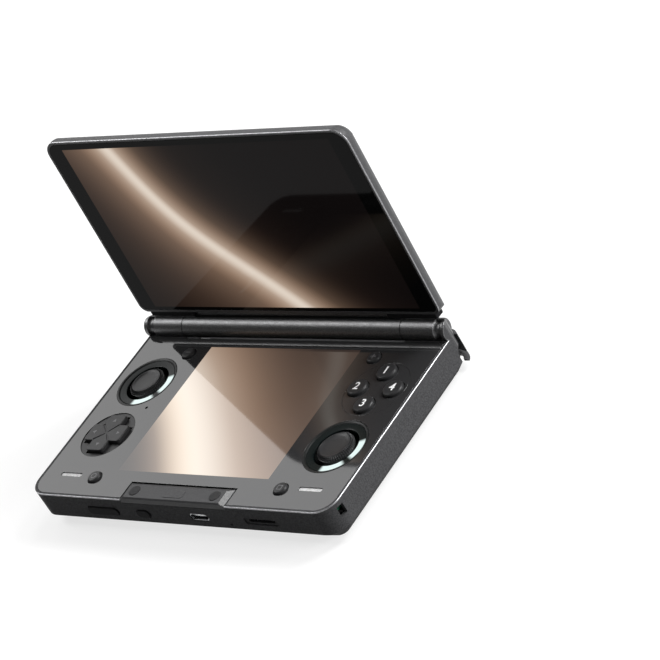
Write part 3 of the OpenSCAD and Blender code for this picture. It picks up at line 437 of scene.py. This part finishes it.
def finish(piece, name, body, material, replaces=(), smooth=SMOOTH_ANGLE):
    """Gives a modelled piece its place, normals, shading, finish and body."""
    activate(piece)
    bpy.ops.object.transform_apply(location=True, rotation=True, scale=True)
    bpy.ops.object.mode_set(mode="EDIT")
    bpy.ops.mesh.select_all(action="SELECT")
    bpy.ops.mesh.remove_doubles(threshold=1e-6)
    bpy.ops.mesh.normals_make_consistent(inside=False)
    bpy.ops.object.mode_set(mode="OBJECT")
    smooth_piece(piece, smooth)
    piece.name = name
    piece.data.name = name
    if len(piece.data.materials) < 2:
        piece.data.materials.clear()
        piece.data.materials.append(MATERIALS[material])
    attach(piece, body)
    if replaces:
        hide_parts(*replaces)
    deselect()
    print(name, len(piece.data.polygons), "faces, on", body)


# %% [markdown]
# ## Housings with softened edges
# No moulded or machined edge is perfectly sharp: a small radius catches the light and draws the
# bright outline of the console. The CAD shells already have the right shape, so a copy of each is
# merged, its flat triangles are dissolved into whole faces, and a Bevel modifier rounds every
# edge that is sharper than an angle. The modifier narrows its bevel to what the tightest spot of
# a mesh allows, so the bright rims of the base and the lid are picked and bevelled on their own
# first. These strips lie only on the right, along the base's front and along the lid's far side,
# and get a brighter metal finish. Their outline is partly lamp light and partly a painted
# highlight. A Weighted Normal modifier keeps the flat faces flat.

# %% Copy a shell and round its edges
SHARP = math.radians(28)
FLAT = math.radians(0.5)


def rounded_copy(node, body, slot, material, width, rim=None):
    source = NODES[node]
    piece = source.copy()
    piece.data = source.data.copy()
    for key in list(piece.keys()):
        del piece[key]
    piece.parent = None
    scene.collection.objects.link(piece)
    edit(piece)
    bpy.ops.mesh.select_all(action="SELECT")
    bpy.ops.mesh.customdata_custom_splitnormals_clear()
    bpy.ops.mesh.remove_doubles(threshold=1e-6)
    bpy.ops.mesh.dissolve_limited(angle_limit=FLAT)
    bpy.ops.object.mode_set(mode="OBJECT")
    piece.data.materials.clear()
    piece.data.materials.append(MATERIALS[material])
    # The picked rim strips get the brighter metal, a painted highlight on the sides that face the lamps.
    if rim:
        piece.data.materials.append(MATERIALS["edge_sheen"])
        edit(piece)
        found = pick(piece, "edges", lambda edge: len(edge.link_faces) == 2
                     and edge.calc_face_angle() > SHARP and rim(mid(edge)))
        bpy.ops.mesh.bevel(offset=width * MM, segments=3, affect="EDGES", clamp_overlap=False,
                           material=1)
        deselect()
        print(found, "rim edges")
    apply_modifier(piece, "BEVEL", width=width * MM, segments=3, limit_method="ANGLE",
                   angle_limit=SHARP, use_clamp_overlap=True)
    finish(piece, node + "_shell", body, material, [node])


CORNER = 8 * MM
RIM_BAND = 0.3 * MM
RIM_LEFT = 5 * MM - half_width


def inset(across, ahead):
    """How far in from an outline with round corners a place lies, from two of its sides."""
    if max(across, ahead) < CORNER:
        return CORNER - math.hypot(CORNER - across, CORNER - ahead)
    return min(across, ahead)


def base_rim(place):
    """True on the base's outer upper edge, on the right and along the front, where the painted rim highlight goes.
    """
    return (place.z > deck_z - 0.05 * MM and place.x > RIM_LEFT
            and inset(half_width - abs(place.x), place.y - front_y) < RIM_BAND)


def lid_rim(place):
    """True on the outer edge of the lid's glass side, on the right and along the far side, where the painted rim
    highlight goes.
    """
    face_y = HINGE.y + (place.z - HINGE.z) * math.tan(LID_OPEN - math.pi / 2)
    return (place.x > RIM_LEFT and place.y < face_y + 0.5 * MM
            and inset(half_width - abs(place.x), high_z("lid_back") - place.z) < RIM_BAND)


SHELLS = [
    ("base_frame", "base", "frame_paint", "frame_paint", 0.35, base_rim),
    ("bottom_shell", "base", "shell_plastic", "shell_plastic", 0.20),
    ("deck_glass", "base", "deck_glass", "deck_glass", 0.12),
    ("dpad_plate", "base", "deck_glass", "button_plastic", 0.10),
    ("button_plate", "base", "deck_glass", "deck_glass", 0.06),
    ("bumper_bar", "base", "bar_plastic", "bar_plastic", 0.25),
    ("lid_back", "lid", "lid_paint", "lid_paint", 0.35, lid_rim),
    ("lid_glass", "lid", "deck_glass", "lid_glass", 0.10),
    ("hinge_barrel", "lid", "frame_paint", "barrel_coat", 0.25),
    ("hinge_cover", "lid", "lid_paint", "barrel_coat", 0.15),
    ("left_shoulder_button", "left_shoulder", "bar_plastic", "bar_plastic", 0.25),
    ("right_shoulder_button", "right_shoulder", "bar_plastic", "bar_plastic", 0.25),
    ("left_trigger", "left_trigger_body", "bar_plastic", "bar_plastic", 0.30),
    ("right_trigger", "right_trigger_body", "bar_plastic", "bar_plastic", 0.30),
    ("volume_rocker", "rocker", "bar_plastic", "shell_plastic", 0.20),
    ("power_button", "power", "bar_plastic", "shell_plastic", 0.20),
]
for facts in SHELLS:
    rounded_copy(*facts)

# %% [markdown]
# The two roundings of the lid's back meet in a sharp corner at each far end. A block with the
# lid's outline and softer corners is drawn as if the lid were closed, turned open about the
# hinge, and the lid is cut to it. The block is a hair larger, so it touches nothing else.

# %% Soften the lid's far corners
LID_END, LID_ROOT, LID_FRONT, LID_TOP = -88.9, -3.0, -3.0, 5.9
LID_CORNER, CORNER_SOFT, HAIR = 6.5, 4.9, 0.05


def lid_block():
    """A closed lid's outline, in millimetres from the hinge, turned open."""
    deselect()
    low = Vector((-half_width / MM - HAIR, LID_END - HAIR, LID_FRONT)) * MM
    high = Vector((half_width / MM + HAIR, LID_ROOT, LID_TOP + HAIR)) * MM
    bpy.ops.mesh.primitive_cube_add(size=1, location=(low + high) / 2)
    block = bpy.context.object
    block.scale = high - low
    bpy.ops.object.transform_apply(location=True, rotation=True, scale=True)
    edit(block)
    pick(block, "edges", lambda edge: along(edge, 2) and mid(edge).y < low.y + MM)
    bpy.ops.mesh.bevel(offset=(LID_CORNER + HAIR) * MM, segments=16, affect="EDGES")
    pick(block, "edges", lambda edge: min(vert.co.z for vert in edge.verts) > high.z - 1e-6
         and mid(edge).y < high.y - MM and min(face.normal.z for face in edge.link_faces) < 0.5)
    bpy.ops.mesh.bevel(offset=CORNER_SOFT * MM, segments=16, affect="EDGES")
    deselect()
    block.rotation_euler = (-LID_OPEN, 0, 0)
    block.location = HINGE
    activate(block)
    bpy.ops.object.transform_apply(location=True, rotation=True, scale=True)
    return block


block = lid_block()
lid = bpy.data.objects["lid_back_shell"]
faces_before = len(lid.data.polygons)
apply_modifier(lid, "BOOLEAN", operation="INTERSECT", object=block, solver="EXACT")
bpy.data.objects.remove(block)
smooth_piece(lid, SMOOTH_ANGLE)
print("lid", faces_before, "->", len(lid.data.polygons), "faces")

# %% [markdown]
# Two shells wear a second finish on some of their faces. The ramps at the ends of the front bar
# are polished, and the knuckles that stand above the deck have the barrel's coat.

# %% A second finish on some faces
def coat(name, material, test):
    """Gives the faces for which test(face) holds another finish."""
    piece = bpy.data.objects[name]
    piece.data.materials.append(MATERIALS[material])
    edit(piece)
    found = pick(piece, "faces", test)
    piece.active_material_index = len(piece.data.materials) - 1
    bpy.ops.object.material_slot_assign()
    deselect()
    print(found, "faces in", material)


coat("bumper_bar_shell", "polish", lambda face: abs(face.normal.x) > 0.35
     and face.normal.z > 0.75 and face.calc_area() > 2 * MM * MM)
coat("base_frame_shell", "barrel_coat", lambda face: face.calc_center_median().z
     > deck_z + 0.3 * MM)

# %% [markdown]
# ## The stick caps
# A stick's cap is moulded rubber: a smooth shallow dish inside a knurled rim, which tapers in
# below. The shape is turned, so it is drawn as a profile of radii and heights. An edge ring is
# extruded and scaled once for each point. The knurling is a band of small faces, and each is
# poked into a low pyramid.

# %% Turn a profile
def turn_profile(centre, profile, segments=96):
    """Turns (radius, height) points, in millimetres from the centre, about an upright line."""
    deselect()
    radius, height = profile[0]
    bpy.ops.mesh.primitive_circle_add(vertices=segments, radius=radius * MM,
                                      location=(centre[0], centre[1], centre[2] + height * MM))
    piece = bpy.context.object
    bpy.ops.object.transform_apply(location=True, rotation=True, scale=True)
    edit(piece)
    bpy.ops.mesh.select_mode(type="VERT")
    bpy.ops.mesh.select_all(action="SELECT")
    for (r0, z0), (r1, z1) in zip(profile, profile[1:]):
        bpy.ops.mesh.extrude_region_move(TRANSFORM_OT_translate={"value": (0, 0, (z1 - z0) * MM)})
        if r1 > 0:
            bpy.ops.transform.resize(value=(r1 / r0, r1 / r0, 1), center_override=centre)
        else:
            bpy.ops.mesh.merge(type="CENTER")
    return piece


def radius_of(item, centre):
    place = item.calc_center_median()
    return math.hypot(place.x - centre[0], place.y - centre[1]) / MM


def close_rings(piece):
    """Fills the open rings at the ends of a turned profile."""
    pick(piece, "edges", lambda edge: edge.is_boundary)
    bpy.ops.mesh.edge_face_add()


# %% Model a stick cap
CAP = [(2.0, -2.4), (5.2, -2.4), (6.1, -2.3), (6.7, -2.0), (7.15, -1.3), (7.3, -0.5),
       (7.0, 0.22), (6.35, 0.7), (5.9, 0.8), (5.5, 0.74), (5.2, 0.58), (4.5, 0.40),
       (3.0, 0.29), (1.2, 0.25), (0, 0.24)]
CAP_SIDES = 52
KNURL_IN, KNURL_LOW, KNURL_RISE = 6.0, -2.1, 0.38


def stick_cap(side):
    centre = (STICKS[side].x, STICKS[side].y, deck_z)
    piece = turn_profile(centre, CAP, CAP_SIDES)
    close_rings(piece)
    band = pick(piece, "faces", lambda face: radius_of(face, centre) > KNURL_IN
                and face.calc_center_median().z > deck_z + KNURL_LOW * MM)
    bpy.ops.mesh.poke(offset=KNURL_RISE * MM)
    print(side, "cap has", band, "knurls")
    finish(piece, side + "_cap_rubber", side + "_cap", "stick_rubber",
           [side + "_stick_cap"], smooth=22)


for side in STICKS:
    stick_cap(side)

# %% [markdown]
# ## The rim round each well
# A glossy black bead frames each well and hides the cut edge of the glass.

# %% Model the well rims
RIM = [(12.85, -0.04), (12.8, 0.04), (12.55, 0.08), (12.2, 0.0), (11.95, -0.2), (11.8, -0.3),
       (11.86, -0.48), (12.25, -0.04), (12.85, -0.04)]


def well_rim(side):
    centre = (STICKS[side].x, STICKS[side].y, deck_z)
    finish(turn_profile(centre, RIM), side + "_well_rim", "base", "stick_plastic")


for side in STICKS:
    well_rim(side)

# %% [markdown]
# The smoked ring inside it has a nearly flat top, where the painted light patches show, and a wall
# that goes down into the well.

# %% Model the light rings
RING = [(11.66, -0.26), (11.4, -0.3), (9.3, -0.42), (9.0, -0.6), (8.95, -0.85), (9.0, -1.7),
        (10.75, -2.2), (10.78, -4.86), (11.66, -4.86), (11.66, -0.26)]


def light_ring(side):
    centre = (STICKS[side].x, STICKS[side].y, deck_z)
    finish(turn_profile(centre, RING), side + "_ring", "base", side + "_diffuser",
           [side + "_light_ring"])


for side in STICKS:
    light_ring(side)

# %% [markdown]
# ## The lips of the lid
# A dark lip under each end of the lid covers the gap above the fixed knuckle. It is drawn where
# it lies on the closed lid, and then turned about the hinge with the lid.

# %% Model the lips
LIP_PLACE = (60.0, -5.8, 2.2)
LIP_SIZE = Vector((23.2, 2.6, 4.2)) * MM


def lid_lip(side, sign):
    deselect()
    place = Vector((sign * LIP_PLACE[0], LIP_PLACE[1], LIP_PLACE[2])) * MM
    place.rotate(Matrix.Rotation(-LID_OPEN, 3, "X"))
    bpy.ops.mesh.primitive_cube_add(size=1, location=HINGE + place, rotation=(-LID_OPEN, 0, 0))
    lip = bpy.context.object
    lip.scale = LIP_SIZE
    bpy.ops.object.transform_apply(location=True, rotation=True, scale=True)
    edit(lip)
    bpy.ops.mesh.select_all(action="SELECT")
    bpy.ops.mesh.bevel(offset=0.5 * MM, segments=3, affect="EDGES")
    finish(lip, side + "_lid_lip", "lid", "shell_plastic")


for side, sign in (("left", -1), ("right", 1)):
    lid_lip(side, sign)

# %% [markdown]
# ## The cross pad
# The pad is one moulded cross. A block has its four sides extruded into arms, and the upright
# edges at the ends and in the corners are rounded. The middle is poked, its new diagonal edges
# are widened into strips, and the strips are sunk as grooves, so the arms meet in an X.

# %% Model the cross pad
ARM_HALF, TIP_SOFT, NOOK_SOFT, PAD_RIM = 4.2, 1.3, 0.5, 0.4
DISH, GROOVE_HALF, GROOVE_DEEP = 0.25, 0.2, 0.22


def cross_pad():
    low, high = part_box("dpad_cross")
    centre = (low + high) / 2
    arm = (high.x - low.x) / 2
    half = ARM_HALF * MM
    top = high.z
    deselect()
    bpy.ops.mesh.primitive_cube_add(size=1, location=(centre.x, centre.y, (low.z + top) / 2))
    piece = bpy.context.object
    piece.scale = (2 * half, 2 * half, top - low.z)
    bpy.ops.object.transform_apply(location=True, rotation=True, scale=True)
    for axis, sign in ((0, 1), (0, -1), (1, 1), (1, -1)):
        edit(piece)
        pick(piece, "faces", lambda face: sign * face.normal[axis] > 0.9
             and abs(face.calc_center_median()[axis] - centre[axis]) < half * 1.01
             and abs(face.calc_center_median()[1 - axis] - centre[1 - axis]) < half / 2)
        move = [0, 0, 0]
        move[axis] = sign * (arm - half)
        bpy.ops.mesh.extrude_region_move(TRANSFORM_OT_translate={"value": move})
    pick(piece, "edges", lambda edge: along(edge, 2)
         and max(abs(mid(edge).x - centre.x), abs(mid(edge).y - centre.y)) > arm * 0.99)
    bpy.ops.mesh.bevel(offset=TIP_SOFT * MM, segments=5, affect="EDGES")
    pick(piece, "edges", lambda edge: along(edge, 2) and not edge.is_boundary
         and abs(abs(mid(edge).x - centre.x) - half) < 0.01 * MM
         and abs(abs(mid(edge).y - centre.y) - half) < 0.01 * MM)
    bpy.ops.mesh.bevel(offset=NOOK_SOFT * MM, segments=3, affect="EDGES")
    pick(piece, "faces", lambda face: face.normal.z > 0.9
         and (face.calc_center_median() - centre).to_2d().length < MM)
    bpy.ops.mesh.poke(offset=-DISH * MM)
    pick(piece, "edges", lambda edge: mid(edge).z > low.z + 0.8 * (top - low.z)
         and min((vert.co - centre).to_2d().length for vert in edge.verts) < 0.05 * MM
         and max(vert.co.z for vert in edge.verts) > top - 0.01 * MM
         and edge.calc_length() > 5 * MM)
    bpy.ops.mesh.bevel(offset=GROOVE_HALF * MM, segments=2, affect="EDGES")

    def in_groove(face):
        spot = face.calc_center_median() - centre
        return (face.normal.z > 0.5 and min(edge.calc_length() for edge in face.edges) < 0.5 * MM
                and abs(abs(spot.x) - abs(spot.y)) < 0.3 * MM
                and spot.to_2d().length < 5.9 * MM)

    pick(piece, "faces", in_groove)
    bpy.ops.transform.translate(value=(0, 0, -GROOVE_DEEP * MM))
    return piece, top, centre


def pad_rims(piece, top):
    """Rounds the upper rim of the pad."""
    pick(piece, "edges", lambda edge: min(vert.co.z for vert in edge.verts) > top - 0.01 * MM
         and len(edge.link_faces) == 2 and min(face.normal.z for face in edge.link_faces) < 0.3)
    bpy.ops.mesh.bevel(offset=PAD_RIM * MM, segments=3, affect="EDGES")


piece, top, centre = cross_pad()
pad_rims(piece, top)
finish(piece, "cross_pad", "dpad", "button_plastic", ["dpad_cross"])

# %% [markdown]
# A faint triangle is printed near the end of each arm. A cylinder with three sides is one.

# %% Marks on the cross pad
MARK_OUT, MARK_RADIUS, MARK_THICK = 6.1, 1.0, 0.04


def join_as(pieces, name):
    deselect()
    for piece in pieces:
        piece.select_set(True)
    bpy.context.view_layer.objects.active = pieces[0]
    bpy.ops.object.join()
    pieces[0].name = name
    return pieces[0]


marks = []
for turn in range(4):
    heading = turn * math.pi / 2
    place = centre + Vector((-math.sin(heading), math.cos(heading), 0)) * MARK_OUT * MM
    deselect()
    bpy.ops.mesh.primitive_cylinder_add(vertices=3, radius=MARK_RADIUS * MM,
                                        depth=MARK_THICK * MM,
                                        location=(place.x, place.y, top + 0.01 * MM),
                                        rotation=(0, 0, heading))
    marks.append(bpy.context.object)
finish(join_as(marks, "pad_marks"), "pad_marks", "dpad", "print_grey")

# %% [markdown]
# ## The action buttons
# Each button is a short turned peg with a soft edge and a nearly flat top. A plain number is
# printed on it in white: the text is made by Blender and turned into a thin mesh.

# %% Model the action buttons
KEY_RADIUS, NUMBER_SIZE = 4.05, 5.0


def button_cap(node, body, radius, name):
    low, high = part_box(node)
    centre = ((low.x + high.x) / 2, (low.y + high.y) / 2, high.z)
    depth = (low.z - high.z) / MM
    profile = [(radius, depth), (radius, -0.58), (radius - 0.06, -0.45), (radius - 0.42, -0.07),
               (radius - 0.54, -0.01), (radius - 0.75, 0.0), (0, 0.0)]
    piece = turn_profile(centre, profile, 72)
    close_rings(piece)
    finish(piece, name, body, "button_plastic", [node])
    return centre


def printed_text(words, centre, size, body, name):
    deselect()
    bpy.ops.object.text_add(location=(centre[0], centre[1], centre[2] + 0.012 * MM))
    text = bpy.context.object
    text.data.body = words
    text.data.size = size * MM
    text.data.align_x = "CENTER"
    text.data.align_y = "CENTER"
    text.data.extrude = 0.01 * MM
    text.data.offset = 0.06 * MM
    bpy.ops.object.convert(target="MESH")
    finish(bpy.context.object, name, body, "print_white")


for number, side in enumerate(("north", "west", "south", "east"), 1):
    place = button_cap("button_" + side, "key_" + side, KEY_RADIUS, "key_cap_" + side)
    printed_text(str(number), place, NUMBER_SIZE, "key_" + side, "key_number_" + side)

# %% [markdown]
# ## The small buttons
# Four small round keys sit at the corners of the deck. Each has a shallow line mark: a ring, a
# square, a bar or a cross.

# %% Model the small buttons
SMALL_RADIUS, LINE, STROKE = 2.8, 0.35, 2.4


def flat_ring(centre, outer, inner, sides, turn=0.0):
    """A thin printed outline with that many sides, raised by a hair."""
    piece = turn_profile(centre, [(inner, 0.005), (inner, 0.03), (outer, 0.03), (outer, 0.005),
                                  (inner, 0.005)], sides)
    bpy.ops.mesh.select_all(action="SELECT")
    bpy.ops.transform.rotate(value=turn, orient_axis="Z", center_override=centre)
    bpy.ops.object.mode_set(mode="OBJECT")
    return piece


def flat_bar(centre, length, width):
    deselect()
    bpy.ops.mesh.primitive_cube_add(size=1, location=(centre[0], centre[1],
                                                      centre[2] + 0.015 * MM))
    piece = bpy.context.object
    piece.scale = (length * MM, width * MM, 0.03 * MM)
    bpy.ops.object.transform_apply(location=True, rotation=True, scale=True)
    return piece


def small_mark(kind, place):
    if kind == "ring":
        return flat_ring(place, 1.25, 0.95, 32)
    if kind == "square":
        return flat_ring(place, 1.5, 1.15, 4, math.pi / 4)
    if kind == "bar":
        return flat_bar(place, STROKE, LINE)
    return join_as([flat_bar(place, STROKE, LINE), flat_bar(place, LINE, STROKE)], "cross")


for corner, kind in (("front_left", "ring"), ("front_right", "square"), ("rear_left", "bar"),
                     ("rear_right", "cross")):
    body = "small_key_" + corner
    place = button_cap("small_button_" + corner, body, SMALL_RADIUS, "small_cap_" + corner)
    finish(small_mark(kind, place), "small_mark_" + corner, body, "print_grey")

# %% [markdown]
# ## The front bar's pads and its bare plate
# Two round rubber pads keep the lid off the bar. Between them is a shallow oblong plate, whose
# outline is all that shows.

# %% Model the pads and the plate
low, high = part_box("bumper_pads")
pad_radius = (high.y - low.y) / 2 / MM
pad_edge = [(pad_radius, (low.z - high.z) / MM), (pad_radius, -0.14), (pad_radius - 0.1, -0.03),
            (pad_radius - 0.35, 0), (0, -0.02)]
for side, x in (("left", low.x + pad_radius * MM), ("right", high.x - pad_radius * MM)):
    place = (x, (low.y + high.y) / 2, high.z)
    piece = turn_profile(place, pad_edge, 64)
    close_rings(piece)
    finish(piece, "bar_pad_" + side, "base", "pad_rubber",
           ["bumper_pads"] if side == "left" else ())


def rounded_slab(low, high, radius, soft):
    """A slab between two corners, round in plan, with a soft upper rim."""
    deselect()
    centre, size = (Vector(low) + Vector(high)) / 2, Vector(high) - Vector(low)
    bpy.ops.mesh.primitive_cube_add(size=1, location=centre)
    piece = bpy.context.object
    piece.scale = size
    bpy.ops.object.transform_apply(location=True, rotation=True, scale=True)
    edit(piece)
    pick(piece, "edges", lambda edge: along(edge, 2))
    bpy.ops.mesh.bevel(offset=radius, segments=8, affect="EDGES")
    pick(piece, "edges", lambda edge: min(vert.co.z for vert in edge.verts) > high[2] - 1e-6
         and min(face.normal.z for face in edge.link_faces) < 0.5)
    bpy.ops.mesh.bevel(offset=soft, segments=3, affect="EDGES")
    return piece


PLATE_HALF, PLATE_NEAR, PLATE_FAR, PLATE_SUNK, PLATE_RISE = 5, 1.45, 5.75, 0.05, 0.14
bar_top = high_z("bumper_bar")
plate = rounded_slab(
    (-PLATE_HALF * MM, front_y + PLATE_NEAR * MM, bar_top - PLATE_SUNK * MM),
    (PLATE_HALF * MM, front_y + PLATE_FAR * MM, bar_top + PLATE_RISE * MM), 1.1 * MM, 0.08 * MM)
finish(plate, "bar_plate", "base", "bar_plastic")

# %% [markdown]
# ## The speaker meshes
# A pale fine mesh lies just below the glass in each speaker slot.

# %% Model the speaker meshes
SPEAKER_X, SPEAKER_Y = 59.7, 10.9
MESH_HALF = (5.45 * MM, 0.86 * MM)
for side, sign in (("left", -1), ("right", 1)):
    x, y = sign * SPEAKER_X * MM, front_y + SPEAKER_Y * MM
    mesh = rounded_slab((x - MESH_HALF[0], y - MESH_HALF[1], deck_z - 1.2 * MM),
                        (x + MESH_HALF[0], y + MESH_HALF[1], deck_z - 0.35 * MM),
                        0.84 * MM, 0.05 * MM)
    finish(mesh, side + "_speaker_mesh", "base", "speaker_mesh")

# %% [markdown]
# ## The studio
# A pale floor, a soft world and five soft lamps: a large one behind and to the left, whose
# reflection lies on the deck glass, two behind, one on the left and one on the right. The floor
# glows for the camera and in reflections, but lights nothing, so it looks white and keeps the
# shadow.

# %% Floor and world
FLOOR_GLOW, FLOOR_SIZE, WORLD_LEVEL = 0.72, 12, 0.12


def pale_floor():
    deselect()
    bpy.ops.mesh.primitive_plane_add(size=FLOOR_SIZE, location=(0, 0, -0.05 * MM))
    floor = bpy.context.object
    floor.name = "floor"
    material = new_material("floor_paper", (0.30, 0.30, 0.30), 0.9, ior=1.2)
    path = add_node(material, "LightPath")
    seen = math_node(material, "MAXIMUM", path.outputs["Is Camera Ray"],
                     path.outputs["Is Glossy Ray"])
    seen = math_node(material, "MAXIMUM", seen, path.outputs["Is Transmission Ray"])
    shader = shader_of(material)
    shader.inputs["Emission Color"].default_value = (1, 1, 1, 1)
    link(material, math_node(material, "MULTIPLY", seen, FLOOR_GLOW),
         shader.inputs["Emission Strength"])
    floor.data.materials.append(material)


def soft_world(level):
    world = bpy.data.worlds.new("studio")
    world.use_nodes = True
    scene.world = world
    background = world.node_tree.nodes["Background"]
    background.inputs["Color"].default_value = (1, 1, 1, 1)
    background.inputs["Strength"].default_value = level


pale_floor()
soft_world(WORLD_LEVEL)
print("floor", FLOOR_SIZE, "m wide, world at", WORLD_LEVEL)

# %% The lamps
LAMPS = [
    ("back_left_box", (-0.98, 0.66, 0.76), (0, 0, 0.02), 1.2, 0.9, 6),
    ("rear_box", (0.15, 0.62, 0.95), (0, 0, 0.03), 0.35, 0.35, 4),
    ("right_rim", (0.66, 0.66, 0.72), (0.05, 0, 0.05), 0.4, 0.4, 12),
    ("left_box", (-0.97, -0.05, 1.02), (0, 0.04, 0.02), 0.5, 0.5, 7),
    ("side_box", (1.1, 0.25, 0.35), (0.07, 0, 0.01), 0.5, 0.4, 10),
]


def soft_lamp(name, place, target, width, height, power):
    data = bpy.data.lights.new(name, "AREA")
    data.shape = "RECTANGLE"
    data.size = width
    data.size_y = height
    data.energy = power
    lamp = bpy.data.objects.new(name, data)
    scene.collection.objects.link(lamp)
    lamp.location = place
    lamp.rotation_euler = (Vector(target) - Vector(place)).to_track_quat("-Z", "Y").to_euler()
    lamp.visible_camera = False
    print(name, power, "W")


for facts in LAMPS:
    soft_lamp(*facts)

# %% [markdown]
# ## Finishes for the parts that keep their CAD shape
# The carriers, boards, yokes and screws inside already have the right form. Each only gets the
# finish of its slot. The parts that a modelled piece replaces are dressed as well.

# %% Dress the remaining CAD nodes
SLOT_MATERIAL = {"display": "stick_plastic", "diffuser": "left_diffuser"}
for entry in frame["record"]["subparts"]:
    node = NODES[entry["node"]]
    name = entry["material_slot"]
    node.data.materials.clear()
    node.data.materials.append(MATERIALS[SLOT_MATERIAL.get(name, name)])
for side in STICKS:
    NODES[side + "_light_ring"].data.materials[0] = MATERIALS[side + "_diffuser"]
for name in ("dpad_membrane", "button_membrane"):
    NODES[name].data.materials[0] = MATERIALS["membrane_rubber"]
print("dressed", len(NODES), "nodes")
